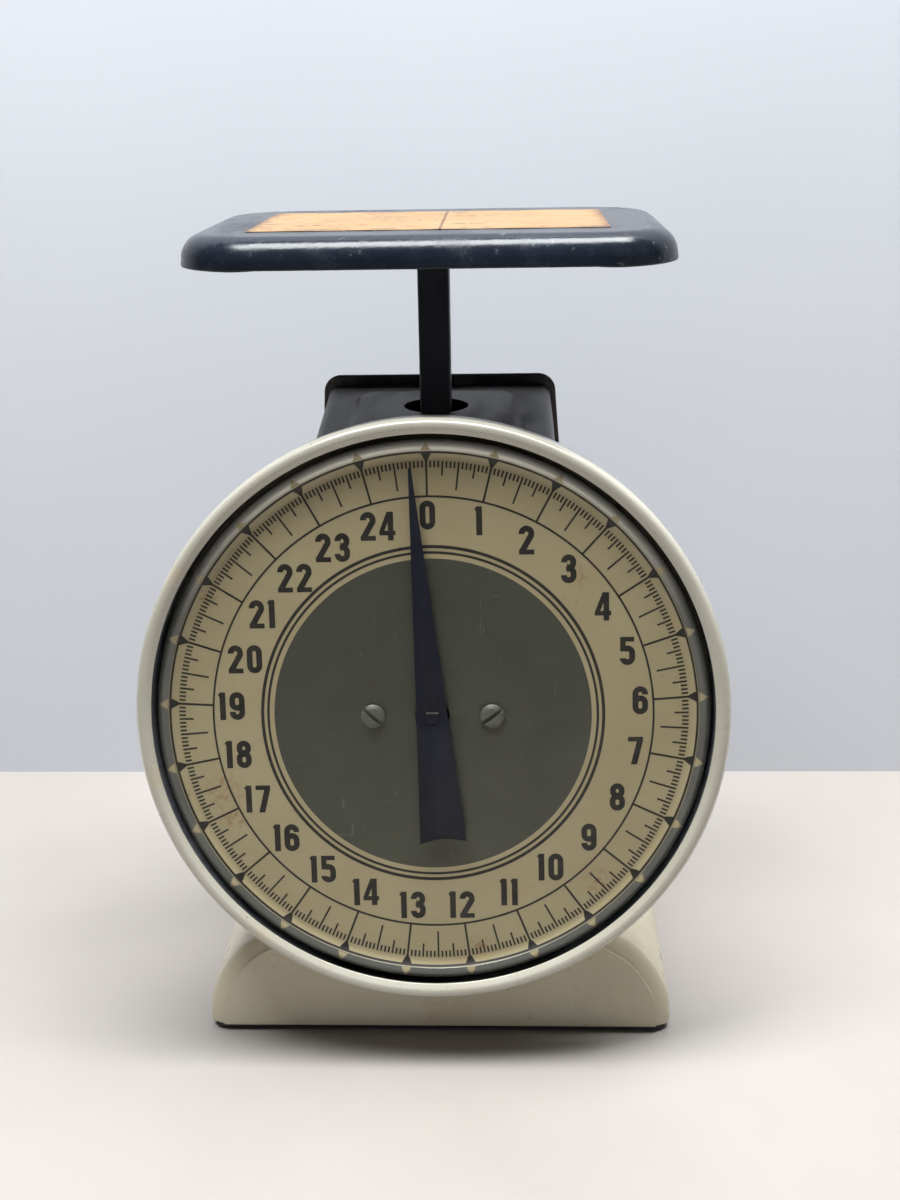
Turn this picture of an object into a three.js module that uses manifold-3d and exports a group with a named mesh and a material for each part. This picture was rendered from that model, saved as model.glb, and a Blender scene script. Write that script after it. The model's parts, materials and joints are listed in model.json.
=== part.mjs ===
// Platform spring scale with a round dial, in millimetres.
// +Z is up and the dial faces -Y. The parts are placed round the post, which stands on x = 0, y = 0, and the
// finished group is moved back so that its origin lies on the bench at the middle of the scale's footprint.
import * as THREE from 'three';
import { mergeVertices } from 'three/addons/utils/BufferGeometryUtils.js';
import Module from 'manifold-3d';

const wasm = await Module();
wasm.setup();

// Driving dimensions
const FOOTPRINT_SHIFT_Y = 11.63;
const SHEET = 1.2;
const WELD = 1e-4;
const DIAL_CENTRE_Y = -60;
const DIAL_CENTRE_Z = 105;
const DIAL_TILT = THREE.MathUtils.degToRad(8.5);
const BEZEL_RADIUS = 85.2;
const LENS_RADIUS = 83.5;
const HOUSING_RADIUS = 83.75;
const RING_RISE = 0.7;
const DIAL_PLATE_RADIUS = 80;
const DIAL_PRINT_RADIUS = 76.2;
const DIAL_SCREW_X = 17.2;
const FRONT_SHEET_DEPTH = 14;
const BASE_HALF_WIDTH = 71.1;
const BASE_BOTTOM_Z = 2.2;
const BASE_REAR_Y = 52;
const REAR_SLOPE = Math.atan(0.153);
const EDGE_RADIUS = 4;
const FLANGE_WIDTH = 9;
const TOP_COVER_Z = 182.2;
const TOP_COVER_SKIRT = 15;
const TOP_COVER_HALF_WIDTH = 35.4;
const BODY_TOP_DROP = 3.5;
const REAR_COVER_TOP_Z = 189;
const PLATFORM_WIDTH = 140.4;
const PLATFORM_DEPTH = 104;
const PLATFORM_TOP_Z = 239.5;
const PLATFORM_SKIRT = 9;
const PLATFORM_CORNER = 24;
const PLATFORM_EDGE = 6.5;
const LABEL_WIDTH = 102;
const LABEL_DEPTH = 64;
const LABEL_THICKNESS = 0.3;
const POST_WIDTH = 9.5;
const POST_BOTTOM_Z = 52.4;
const POST_TOP_Z = 235;
const TRAVEL = 19;
const PINION_TEETH = 12;
const GEAR_MODULE = 0.5;
const PINION_DEPTH = -36;
const SHAFT_RADIUS = 1.2;
const POINTER_ANGLE = THREE.MathUtils.degToRad(4.35);
const POINTER_TIP = 72;
const POINTER_TAIL = 37.5;
const LINK_LENGTH = 30;
const LINK_PIVOT_Y = 20.45;
const LINK_PIN_Y = -8;
const UPPER_PIN_Z = 116;
const LOWER_PIN_Z = 64;
const CHASSIS_HALF_WIDTH = 27;
const CHASSIS_SHEET = 1.6;
const CHASSIS_FRONT_Y = -32;
const CHASSIS_REAR_Y = 26;
const CHASSIS_TOP_Z = 159.6;
const WHEEL_Y = 20;
const WHEEL_RADIUS = 13;
const SPRING_X = 19;
const SPRING_RADIUS = 5;
const SPRING_WIRE = 0.9;
const SPRING_TURNS = 10;
const HANGER_Z = 140;
const BRACKET_ARM_Z = 50;
const PAN_FLOOR_Z = 1.2;
const PAN_SHEET = 0.8;
const FOOT_RADIUS = 7;
const ROUND_SIDES = 64;
const SMALL_SIDES = 16;

const ORIGIN_PLACE = new THREE.Matrix4();
const dialPlace = new THREE.Matrix4()
  .makeRotationX(Math.PI / 2 - DIAL_TILT)
  .setPosition(0, DIAL_CENTRE_Y, DIAL_CENTRE_Z);
const rearPlace = new THREE.Matrix4()
  .makeRotationX(REAR_SLOPE - Math.PI / 2)
  .setPosition(0, BASE_REAR_Y, BASE_BOTTOM_Z);

// The top slopes down towards the dial, square to the rear plane, and is measured at the post
const topPlace = new THREE.Matrix4()
  .makeRotationX(REAR_SLOPE)
  .setPosition(0, 0, TOP_COVER_Z);

// Outline of the body seen from the front, right-hand side, from the bottom up
const ARCH = [
  [BASE_HALF_WIDTH, -14],
  [BASE_HALF_WIDTH, 6],
  [70, 11.5],
  [69, 15],
  [67.2, 18.2],
  [65.1, 21.2],
  [62.4, 24.4],
  [59.2, 27.2],
  [55.4, 29.6],
  [52, 31.6],
  [49.4, 34.4],
  [47.8, 38.5],
  [46.8, 45],
  [45.8, 56],
];
const REAR_PLANE_UP = BASE_REAR_Y * Math.sin(REAR_SLOPE) + (TOP_COVER_Z - BASE_BOTTOM_Z) * Math.cos(REAR_SLOPE);
const COLUMN_TOP_HALF_WIDTH = 31.5;
const COLUMN_OUTLINE_TOP_Z = 200;

// Makes a closed solid from a three.js geometry, with its faces turned outward.
function solidOf(geometry, place = ORIGIN_PLACE) {
  const bare = geometry.clone().applyMatrix4(place);
  bare.deleteAttribute('normal');
  bare.deleteAttribute('uv');
  const welded = mergeVertices(bare, WELD);
  const source = welded.index.array;
  const points = welded.attributes.position;
  const corners = [];
  let volume = 0;
  for (let i = 0; i < source.length; i += 3) {
    const [a, b, c] = [source[i], source[i + 1], source[i + 2]];
    if (a === b || b === c || c === a) continue;
    corners.push(a, b, c);
    const first = new THREE.Vector3().fromBufferAttribute(points, a);
    const second = new THREE.Vector3().fromBufferAttribute(points, b);
    const third = new THREE.Vector3().fromBufferAttribute(points, c);
    volume += first.dot(second.cross(third));
  }
  if (volume < 0) corners.reverse();
  const mesh = new wasm.Mesh({
    numProp: 3,
    vertProperties: new Float32Array(points.array),
    triVerts: new Uint32Array(corners),
  });
  return new wasm.Manifold(mesh);
}

// A box from its two opposite corners.
function block(low, high, place = ORIGIN_PLACE) {
  const size = high.map((value, axis) => value - low[axis]);
  const box = new THREE.BoxGeometry(...size);
  box.translate(...low.map((value, axis) => value + size[axis] / 2));
  return solidOf(box, place);
}

// A round bar along Z.
function barZ(radius, low, high, x = 0, y = 0, sides = SMALL_SIDES, place = ORIGIN_PLACE) {
  const bar = new THREE.CylinderGeometry(radius, radius, high - low, sides);
  bar.rotateX(Math.PI / 2);
  bar.translate(x, y, (low + high) / 2);
  return solidOf(bar, place);
}

// A round bar along X.
function barX(radius, low, high, y, z, sides = SMALL_SIDES) {
  const bar = new THREE.CylinderGeometry(radius, radius, high - low, sides);
  bar.rotateZ(Math.PI / 2);
  bar.translate((low + high) / 2, y, z);
  return solidOf(bar);
}

// A turned piece about Z, from a closed list of [radius, height].
function turned(profile, sides = ROUND_SIDES, place = ORIGIN_PLACE) {
  const points = profile.map(([radius, height]) => new THREE.Vector2(radius, height));
  if (profile[0][0] > 0) points.push(points[0].clone());
  const lathe = new THREE.LatheGeometry(points, sides);
  lathe.rotateX(Math.PI / 2);
  return solidOf(lathe, place);
}

// A flat plate with the outline in XY, from one height to another.
function plate(outline, low, high, place = ORIGIN_PLACE) {
  const shape = new THREE.Shape(outline.map(([x, y]) => new THREE.Vector2(x, y)));
  const slab = new THREE.ExtrudeGeometry(shape, { depth: high - low, bevelEnabled: false });
  slab.translate(0, 0, low);
  return solidOf(slab, place);
}

function roundedRectangle(width, depth, radius, steps = 5, centreY = 0) {
  const outline = [];
  const centres = [
    [width / 2 - radius, depth / 2 - radius, 0],
    [radius - width / 2, depth / 2 - radius, 1],
    [radius - width / 2, radius - depth / 2, 2],
    [width / 2 - radius, radius - depth / 2, 3],
  ];
  for (const [x, y, quarter] of centres) {
    for (let step = 0; step <= steps; step += 1) {
      const angle = ((quarter + step / steps) * Math.PI) / 2;
      outline.push([x + radius * Math.cos(angle), y + radius * Math.sin(angle) + centreY]);
    }
  }
  return outline;
}

function ellipse(radiusX, radiusY, sides = 28) {
  const outline = [];
  for (let step = 0; step < sides; step += 1) {
    const angle = (step / sides) * Math.PI * 2;
    outline.push([radiusX * Math.cos(angle), radiusY * Math.sin(angle)]);
  }
  return outline;
}

// Moves every edge of an anticlockwise outline inward by a distance.
function inset(outline, distance) {
  const count = outline.length;
  return outline.map(([x, y], index) => {
    const before = outline[(index + count - 1) % count];
    const after = outline[(index + 1) % count];
    const incoming = new THREE.Vector2(x - before[0], y - before[1]).normalize();
    const outgoing = new THREE.Vector2(after[0] - x, after[1] - y).normalize();
    const first = new THREE.Vector2(-incoming.y, incoming.x);
    const second = new THREE.Vector2(-outgoing.y, outgoing.x);
    const middle = first.clone().add(second).normalize();
    const reach = distance / middle.dot(first);
    return [x + middle.x * reach, y + middle.y * reach];
  });
}

function mirroredOutline(rightSide) {
  const left = rightSide.map(([x, z]) => [-x, z]).reverse();
  return [...rightSide, ...left];
}

function bodyOutline(distance) {
  const right = [...ARCH, [COLUMN_TOP_HALF_WIDTH, COLUMN_OUTLINE_TOP_Z]];
  return inset(mirroredOutline(right), distance);
}

function frontY(height, depth = FRONT_SHEET_DEPTH) {
  return DIAL_CENTRE_Y + (height - DIAL_CENTRE_Z) * Math.tan(DIAL_TILT) + depth / Math.cos(DIAL_TILT);
}

// Stretches an outline in XZ towards the rear, with its front leaning back like the dial.
function leaningBlock(outline, depth, startDepth, edge = 0) {
  const shape = new THREE.Shape(outline.map(([x, z]) => new THREE.Vector2(x, z)));
  const block3 = new THREE.ExtrudeGeometry(shape, {
    depth: depth - edge,
    bevelEnabled: edge > 0,
    bevelThickness: edge,
    bevelSize: edge,
    bevelOffset: -edge,
    bevelSegments: 3,
  });
  const points = block3.attributes.position;
  for (let index = 0; index < points.count; index += 1) {
    const x = points.getX(index);
    const z = points.getY(index);
    const back = points.getZ(index) + edge;
    points.setXYZ(index, x, frontY(z, startDepth) + back, z);
  }
  return solidOf(block3);
}

// The half-space behind the rear plane of the body, moved by a distance.
function behindRear(offset) {
  return block([-200, -400, offset], [200, 100, 300], rearPlace);
}

// The half-space above the top plane, moved by a distance.
function aboveTop(offset) {
  return block([-200, -200, offset], [200, 200, 200], topPlace);
}

// The half-space in front of the body's front sheet.
function beforeFront(depth) {
  return block([-300, -300, -depth], [300, 300, 300], dialPlace);
}

function between(low, high) {
  return block([-300, -300, low], [300, 300, high]);
}

function screwHead(radius, height) {
  const profile = [
    [0, 0],
    [radius, 0],
    [radius, height * 0.4],
    [radius * 0.7, height],
    [0, height],
  ];
  return turned(profile, 12);
}

// A slotted screw along Z with its head resting at height zero and its shank below.
function slottedScrew(headRadius, headHeight, shankRadius, length, slotAngle) {
  const head = screwHead(headRadius, headHeight);
  const shank = barZ(shankRadius, -length, 0.05, 0, 0, 8);
  const slotWidth = headRadius * 0.2;
  const slot = new THREE.BoxGeometry(headRadius * 2.4, slotWidth, headHeight);
  slot.translate(0, 0, headHeight);
  slot.rotateZ(slotAngle);
  return head.add(shank).subtract(solidOf(slot));
}

function colour(hex, roughness, metalness) {
  return new THREE.MeshStandardMaterial({ color: hex, roughness, metalness });
}

function nodeOf(name, solid, material) {
  const mesh = solid.getMesh();
  const geometry = new THREE.BufferGeometry();
  const points = [];
  for (let index = 0; index < mesh.vertProperties.length; index += mesh.numProp) {
    points.push(mesh.vertProperties[index], mesh.vertProperties[index + 1], mesh.vertProperties[index + 2]);
  }
  geometry.setAttribute('position', new THREE.Float32BufferAttribute(points, 3));
  geometry.setIndex([...mesh.triVerts]);
  geometry.computeVertexNormals();
  const node = new THREE.Mesh(geometry, material);
  node.name = name;
  return node;
}

const creamPaint = () => colour(0xd9cfae, 0.35, 0);
const blackEnamel = () => colour(0x15151a, 0.3, 0);
const zincSteel = () => colour(0xa9abad, 0.45, 0.9);
const brassMetal = () => colour(0xb5933f, 0.4, 0.9);
const blackRubber = () => colour(0x18181a, 0.85, 0);

// Body shell: one pressed sheet with an arched foot, open behind, above and below
function bodyShell() {
  const outer = leaningBlock(bodyOutline(0), 150, FRONT_SHEET_DEPTH, EDGE_RADIUS);
  const inner = leaningBlock(bodyOutline(SHEET), 150, FRONT_SHEET_DEPTH + SHEET, EDGE_RADIUS - SHEET)
    .subtract(behindRear(-SHEET));
  const opening = leaningBlock(bodyOutline(FLANGE_WIDTH), 150, FRONT_SHEET_DEPTH + EDGE_RADIUS);
  const shaftHole = barZ(6, -20, 0, 0, 0, SMALL_SIDES, dialPlace);
  let shell = outer.subtract(behindRear(0)).subtract(inner).subtract(opening).subtract(shaftHole);
  for (const side of [-1, 1]) {
    shell = shell.subtract(barZ(2.2, -20, 0, side * DIAL_SCREW_X, 0, SMALL_SIDES, dialPlace));
  }
  for (const [x, up] of rearScrewPlaces()) {
    shell = shell.subtract(barZ(1.9, -6, 6, x, -up, 12, rearPlace));
  }
  return shell.intersect(between(BASE_BOTTOM_Z, 300)).subtract(aboveTop(-BODY_TOP_DROP));
}

function rearScrewPlaces() {
  return [
    [-63.5, 8],
    [63.5, 8],
    [-31.4, 150],
    [31.4, 150],
  ];
}

// Top cover: a black channel over the top of the body, with a raised panel and an oval hole
function topCover() {
  const flare = 1.7;
  const top = REAR_PLANE_UP;
  const low = top - TOP_COVER_SKIRT;
  const channel = (distance, front, rear) => {
    const half = TOP_COVER_HALF_WIDTH - distance;
    const right = [
      [half + flare, low - (distance > 0 ? 5 : 0)],
      [half + 0.3, top - distance - 3.2],
      [half - 0.7, top - distance - 1],
      [half - 2.8, top - distance],
    ];
    const outline = mirroredOutline(right).map(([x, up]) => [x, -up]);
    return plate(outline.reverse(), front, rear, rearPlace);
  };
  const cover = channel(0, -150, -0.4).subtract(channel(SHEET, -160, 10));
  const panelRear = 15;
  const panelFront = -60;
  const panelDepth = panelRear - panelFront;
  const panelCentre = (panelRear + panelFront) / 2;
  const panel = plate(roundedRectangle(50, panelDepth, 6, 4, panelCentre), -1.1, 1.2, topPlace);
  const pocket = plate(roundedRectangle(47.6, panelDepth - 2.4, 5, 4, panelCentre), -3, 0, topPlace);
  const hole = plate(ellipse(10, 6.5), TOP_COVER_Z - 10, TOP_COVER_Z + 10);
  return cover.add(panel).subtract(pocket).subtract(hole).subtract(beforeFront(FRONT_SHEET_DEPTH));
}

// Rear cover: a flat black plate that follows the body, with a raised rounded top edge
function rearCover() {
  const right = [
    [68.6, 1],
    [68.6, 8],
    [66, 17.5],
    [60.6, 24.6],
    [53, 30],
    [50, 36],
    [48.6, 46],
    [37.7, 178],
    [36.9, REAR_COVER_TOP_Z - 5.5],
    [34.6, REAR_COVER_TOP_Z - 1.8],
    [30.6, REAR_COVER_TOP_Z],
  ];
  const lift = 1 / Math.cos(REAR_SLOPE);
  const outline = mirroredOutline(right).map(([x, z]) => [x, -(z - BASE_BOTTOM_Z) * lift]);
  const wheelSlot = block([-15, -160.5, -10], [15, -149.5, 10]);
  let cover = plate(outline.reverse(), 0.3, 0.3 + SHEET).subtract(wheelSlot);
  for (const [x, up] of rearScrewPlaces()) {
    cover = cover.subtract(barZ(1.9, -6, 6, x, -up, 12));
  }
  return cover;
}

function basePan() {
  const centreY = -4.6;
  const floor = plate(roundedRectangle(140, 112, 3, 2, centreY), PAN_FLOOR_Z, PAN_FLOOR_Z + PAN_SHEET);
  const rimOutline = roundedRectangle(135, 104, 3, 2, centreY);
  const rimInner = roundedRectangle(135 - 2 * SHEET, 104 - 2 * SHEET, 2, 2, centreY);
  const rim = plate(rimOutline, PAN_FLOOR_Z + PAN_SHEET - 0.1, 9)
    .subtract(plate(rimInner, 0, 20));
  let pan = floor.add(rim);
  for (const [x, y] of footPlaces()) {
    pan = pan.subtract(barZ(3, 0, 6, x, y));
  }
  for (const [x, y] of chassisScrewPlaces()) {
    pan = pan.subtract(barZ(1.7, 0, 6, x, y, 12));
  }
  return pan;
}

function footPlaces() {
  return [
    [-61, -51],
    [61, -51],
    [-61, 42],
    [61, 42],
  ];
}

function foot(x, y) {
  return barZ(FOOT_RADIUS, 0, PAN_FLOOR_Z, x, y, 24)
    .add(barZ(2.8, 0.5, PAN_FLOOR_Z + PAN_SHEET + 1.4, x, y));
}

function chassisScrewPlaces() {
  return [
    [-35, -24],
    [35, -24],
    [-35, 18],
    [35, 18],
  ];
}

// Chassis: two side plates, a rear web, foot flanges and two shelves that hold the zero wheel
function chassis() {
  const inner = CHASSIS_HALF_WIDTH;
  const outer = CHASSIS_HALF_WIDTH + CHASSIS_SHEET;
  const low = PAN_FLOOR_Z + PAN_SHEET + 0.05;
  const web = CHASSIS_REAR_Y - CHASSIS_SHEET;
  let frame = block([-outer, web, low], [outer, CHASSIS_REAR_Y, CHASSIS_TOP_Z]);
  for (const side of [-1, 1]) {
    const wallLow = Math.min(side * inner, side * outer);
    const wallHigh = Math.max(side * inner, side * outer);
    frame = frame.add(block([wallLow, CHASSIS_FRONT_Y, low], [wallHigh, CHASSIS_REAR_Y, CHASSIS_TOP_Z]));
    const footLow = Math.min(side * (outer - 0.2), side * (outer + 13));
    const footHigh = Math.max(side * (outer - 0.2), side * (outer + 13));
    frame = frame.add(block([footLow, CHASSIS_FRONT_Y, low], [footHigh, CHASSIS_REAR_Y, low + CHASSIS_SHEET]));
  }
  const shelfFront = 9;
  for (const shelf of [CHASSIS_TOP_Z - CHASSIS_SHEET, HANGER_Z + 10]) {
    frame = frame.add(block([-outer, shelfFront, shelf], [outer, CHASSIS_REAR_Y, shelf + CHASSIS_SHEET]));
  }
  frame = frame.subtract(block([-17, web - 5, HANGER_Z + 10 + CHASSIS_SHEET], [17, 60, CHASSIS_TOP_Z - CHASSIS_SHEET]));
  frame = frame.subtract(block([-16, web - 5, 16], [16, 60, 42]));
  frame = frame.subtract(block([-16, web - 5, 66], [16, 60, 94]));
  frame = frame.subtract(barZ(2.9, HANGER_Z, CHASSIS_TOP_Z + 5, 0, WHEEL_Y));
  for (const height of [UPPER_PIN_Z, LOWER_PIN_Z]) {
    frame = frame.subtract(barX(2.2, -50, 50, LINK_PIVOT_Y, height - TRAVEL / 2));
  }
  for (const [x, y] of chassisScrewPlaces()) {
    frame = frame.subtract(barZ(1.7, 0, 8, x, y, 12));
  }
  for (const height of bridgeScrewHeights()) {
    const hole = barX(1.7, -60, 0, 0, 0, 12);
    frame = frame.subtract(hole.translate([0, bridgeScrewY(height), height]));
  }
  return frame;
}

function bridgeScrewHeights() {
  return [93, 106];
}

function bridgeScrewY(height) {
  return frontY(height, -PINION_DEPTH);
}

// Bridge: a bent strip parallel to the dial that carries the two shaft bushes
function shaftBridge() {
  const back = -43.2;
  const front = -29;
  const wall = -CHASSIS_HALF_WIDTH + 0.3;
  let bridge = block([wall, -9, back], [12, 9, back + CHASSIS_SHEET])
    .add(block([wall, -9, front - CHASSIS_SHEET], [12, 9, front]))
    .add(block([wall, -13, back], [wall + CHASSIS_SHEET, 13, front]));
  bridge = bridge.subtract(barZ(2.6, -60, 0));
  bridge = bridge.transform([...dialPlace.elements]);
  for (const height of bridgeScrewHeights()) {
    bridge = bridge.subtract(barX(1.45, -60, -20, bridgeScrewY(height), height, 12));
  }
  return bridge;
}

function bridgeScrew(height) {
  const screw = slottedScrew(2.8, 1.6, 1.3, 4.4, 0.6);
  const place = new THREE.Matrix4()
    .makeRotationY(-Math.PI / 2)
    .setPosition(-CHASSIS_HALF_WIDTH - CHASSIS_SHEET - 0.05, bridgeScrewY(height), height);
  return screw.transform([...place.elements]);
}

function shaftBush(depth) {
  const length = CHASSIS_SHEET + 1.2;
  const profile = [
    [SHAFT_RADIUS + 0.08, depth - length / 2],
    [2.45, depth - length / 2],
    [2.45, depth + length / 2],
    [SHAFT_RADIUS + 0.08, depth + length / 2],
  ];
  return turned(profile, SMALL_SIDES);
}

function chassisScrew() {
  return slottedScrew(3, 1.8, 1.5, 2.9, 0.4);
}

function pivotPin() {
  const end = CHASSIS_HALF_WIDTH + CHASSIS_SHEET;
  return barX(2, -end - 1, end + 1, 0, 0).add(barX(3.2, -end - 1.6, -end - 0.1, 0, 0));
}

// Link: two arms joined by a tube round the pivot pin, with a slot for the moving pin
function link() {
  const rise = Math.asin(TRAVEL / 2 / LINK_LENGTH);
  const reach = LINK_PIVOT_Y - LINK_PIN_Y;
  const slotMiddle = (reach + LINK_LENGTH) / 2;
  const slotHalf = (LINK_LENGTH - reach) / 2 + 0.25;
  const armWidth = 1.6;
  const armInner = 9.5;
  let arms = null;
  for (const side of [-1, 1]) {
    const low = Math.min(side * armInner, side * (armInner + armWidth));
    const high = low + armWidth;
    const arm = block([low, -LINK_LENGTH, -3.6], [high, 0, 3.6])
      .add(barX(3.6, low, high, 0, 0))
      .add(barX(3.6, low, high, -LINK_LENGTH, 0));
    arms = arms ? arms.add(arm) : arm;
  }
  const slotRadius = 1.75;
  const slot = block([-20, -slotMiddle - slotHalf, -slotRadius], [20, -slotMiddle + slotHalf, slotRadius])
    .add(barX(slotRadius, -20, 20, -slotMiddle - slotHalf, 0))
    .add(barX(slotRadius, -20, 20, -slotMiddle + slotHalf, 0));
  const tube = barX(3.6, -armInner - 0.8, armInner + 0.8, 0, 0);
  const bore = barX(2.08, -20, 20, 0, 0);
  const turn = new THREE.Matrix4().makeRotationX(-rise);
  return arms.add(tube).subtract(bore).subtract(slot).transform([...turn.elements]);
}

function linkPin() {
  return barX(1.5, -12.2, 12.2, 0, 0)
    .add(barX(2.5, 11.5, 12.6, 0, 0))
    .add(barX(2.5, -12.6, -11.5, 0, 0));
}

// Load bracket: cheeks and a front web round the foot of the post, with two arms for the springs
function loadBracket() {
  const inner = 5.2;
  const outer = 6.8;
  const top = UPPER_PIN_Z + 6;
  let bracket = block([-outer, -13.6, BRACKET_ARM_Z], [outer, -12, top]);
  bracket = bracket.add(block([-outer, -13.6, BRACKET_ARM_Z], [-inner, 4.75, top]));
  bracket = bracket.add(block([inner, -13.6, BRACKET_ARM_Z], [outer, 4.75, top]));
  bracket = bracket.add(block([-24, -4.75, BRACKET_ARM_Z], [24, 4.75, BRACKET_ARM_Z + 2]));
  bracket = bracket.subtract(block([-20, -30, LOWER_PIN_Z + 18], [20, -10, UPPER_PIN_Z - 6]));
  for (const side of [-1, 1]) {
    bracket = bracket.subtract(barZ(1.5, 40, 60, side * SPRING_X, 0, 12));
  }
  for (const height of [UPPER_PIN_Z, LOWER_PIN_Z]) {
    bracket = bracket.subtract(barX(1.6, -20, 20, LINK_PIN_Y, height));
  }
  return bracket.subtract(rackScrewHole(1.5));
}

const RACK_SCREW = { x: -2, z: 74 };

function rackScrewHole(radius) {
  const hole = barZ(radius, -10, 10, 0, 0, 12);
  const place = new THREE.Matrix4()
    .makeRotationX(Math.PI / 2)
    .setPosition(RACK_SCREW.x, -14, RACK_SCREW.z);
  return hole.transform([...place.elements]);
}

function rackScrew() {
  const screw = slottedScrew(2.6, 1.5, 1.3, 3.2, 0.9);
  const place = new THREE.Matrix4()
    .makeRotationX(Math.PI / 2)
    .setPosition(RACK_SCREW.x, -15.25, RACK_SCREW.z);
  return screw.transform([...place.elements]);
}

// Rack: a toothed bar parallel to the dial on a flange that screws to the load bracket
function rack() {
  const pitch = Math.PI * GEAR_MODULE;
  const pitchX = (PINION_TEETH * GEAR_MODULE) / 2;
  const addendum = 0.34;
  const dedendum = 0.62;
  const slope = Math.tan(THREE.MathUtils.degToRad(20));
  const quarter = pitch / 4 - 0.04;
  const outline = [[8, -31], [8, 23.5], [pitchX + dedendum, 23.5]];
  for (let tooth = 14; tooth >= -2; tooth -= 1) {
    const centre = tooth * pitch;
    outline.push([pitchX + dedendum, centre + quarter + dedendum * slope]);
    outline.push([pitchX - addendum, centre + quarter - addendum * slope]);
    outline.push([pitchX - addendum, centre - quarter + addendum * slope]);
    outline.push([pitchX + dedendum, centre - quarter - dedendum * slope]);
  }
  outline.push([pitchX + dedendum, -31]);
  const bar = plate(outline.reverse(), -37.5, -33, dialPlace);
  const flangeBack = -13.7;
  const reach = block([4, -27.5, 71], [8, flangeBack - 0.5, 77]);
  const flange = block([-5.5, flangeBack - 1.5, 67], [8, flangeBack, 79]);
  return bar.add(reach).add(flange).subtract(rackScrewHole(1.5));
}

function involutePoint(baseRadius, roll) {
  const x = baseRadius * (Math.cos(roll) + roll * Math.sin(roll));
  const y = baseRadius * (Math.sin(roll) - roll * Math.cos(roll));
  return [Math.hypot(x, y), Math.atan2(y, x)];
}

function pinion() {
  const pitchRadius = (PINION_TEETH * GEAR_MODULE) / 2;
  const baseRadius = pitchRadius * Math.cos(THREE.MathUtils.degToRad(20));
  const tipRadius = pitchRadius + 0.42;
  const rootRadius = pitchRadius - 0.5;
  const backlash = 0.03 / pitchRadius;
  const pitchRoll = Math.sqrt((pitchRadius / baseRadius) ** 2 - 1);
  const pitchTurn = involutePoint(baseRadius, pitchRoll)[1];
  const halfTooth = Math.PI / PINION_TEETH / 2 - backlash;
  const flank = [];
  for (let step = 0; step <= 3; step += 1) {
    const radius = baseRadius + ((tipRadius - baseRadius) * step) / 3;
    const roll = Math.sqrt(Math.max((radius / baseRadius) ** 2 - 1, 0));
    const turn = involutePoint(baseRadius, roll)[1];
    flank.push([radius, halfTooth + pitchTurn - turn]);
  }
  const outline = [];
  const at = (radius, angle) => outline.push([radius * Math.cos(angle), radius * Math.sin(angle)]);
  for (let tooth = 0; tooth < PINION_TEETH; tooth += 1) {
    const centre = ((tooth + 0.5) * Math.PI * 2) / PINION_TEETH;
    at(rootRadius, centre - flank[0][1]);
    for (const [radius, turn] of flank) {
      at(radius, centre - turn);
    }
    for (const [radius, turn] of [...flank].reverse()) {
      at(radius, centre + turn);
    }
    at(rootRadius, centre + flank[0][1]);
  }
  const gear = plate(outline, PINION_DEPTH - 3, PINION_DEPTH + 3);
  return gear.subtract(barZ(SHAFT_RADIUS + 0.08, -60, 0));
}

function pointerShaft() {
  return barZ(SHAFT_RADIUS, -45, 3);
}

function pointerHub() {
  const profile = [
    [SHAFT_RADIUS + 0.08, 0.5],
    [4.2, 0.5],
    [4.2, 1.4],
    [3, 2.15],
    [SHAFT_RADIUS + 0.08, 2.15],
  ];
  return turned(profile, SMALL_SIDES);
}

// Pointer: a long tapered blade with a wider tail that ends in a shallow hollow
function pointerBlade() {
  const outline = [
    [0.45, POINTER_TIP],
    [-0.45, POINTER_TIP],
    [-4.4, 2],
    [-7, -POINTER_TAIL - 0.6],
    [-3.5, -POINTER_TAIL + 0.2],
    [0, -POINTER_TAIL + 0.5],
    [3.5, -POINTER_TAIL + 0.2],
    [7, -POINTER_TAIL - 0.6],
    [4.4, 2],
  ];
  return plate(outline, 2.25, 2.75).subtract(barZ(SHAFT_RADIUS + 0.08, 0, 6));
}

function dialHousing() {
  const inner = HOUSING_RADIUS - SHEET;
  const profile = [
    [6, -13.4],
    [72, -13.4],
    [79.6, -11.6],
    [HOUSING_RADIUS, -6],
    [HOUSING_RADIUS, 2.8],
    [inner, 2.8],
    [inner, -5.5],
    [78.8, -10.6],
    [71.8, -12.2],
    [6, -12.2],
  ];
  let housing = turned(profile);
  for (const side of [-1, 1]) {
    housing = housing.subtract(barZ(2.2, -20, 0, side * DIAL_SCREW_X, -RING_RISE));
  }
  return housing;
}

function bezel() {
  const profile = [
    [80.7, 4.3],
    [80.8, 5],
    [82.6, 5.8],
    [84.3, 5.2],
    [BEZEL_RADIUS, 3.6],
    [BEZEL_RADIUS, -9.2],
    [HOUSING_RADIUS + 0.35, -9.2],
    [HOUSING_RADIUS + 0.35, 4.3],
  ];
  return turned(profile);
}

function lens() {
  return barZ(LENS_RADIUS, 3.15, 4, 0, 0, ROUND_SIDES);
}

function dialPlate() {
  const profile = [
    [5, 0],
    [DIAL_PRINT_RADIUS, 0],
    [77.3, 0.9],
    [78.9, 1.1],
    [DIAL_PLATE_RADIUS, -0.5],
    [79.2, -0.6],
    [78.3, 0.5],
    [77.7, 0.4],
    [76.5, -0.6],
    [5, -0.6],
  ];
  let dial = turned(profile);
  for (const side of [-1, 1]) {
    dial = dial.subtract(barZ(2.2, -20, 10, side * DIAL_SCREW_X, 0));
  }
  return dial;
}

function dialSpacer() {
  const profile = [
    [2.2, -11.9],
    [4, -11.9],
    [4, -0.9],
    [2.2, -0.9],
  ];
  return turned(profile, SMALL_SIDES);
}

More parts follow.
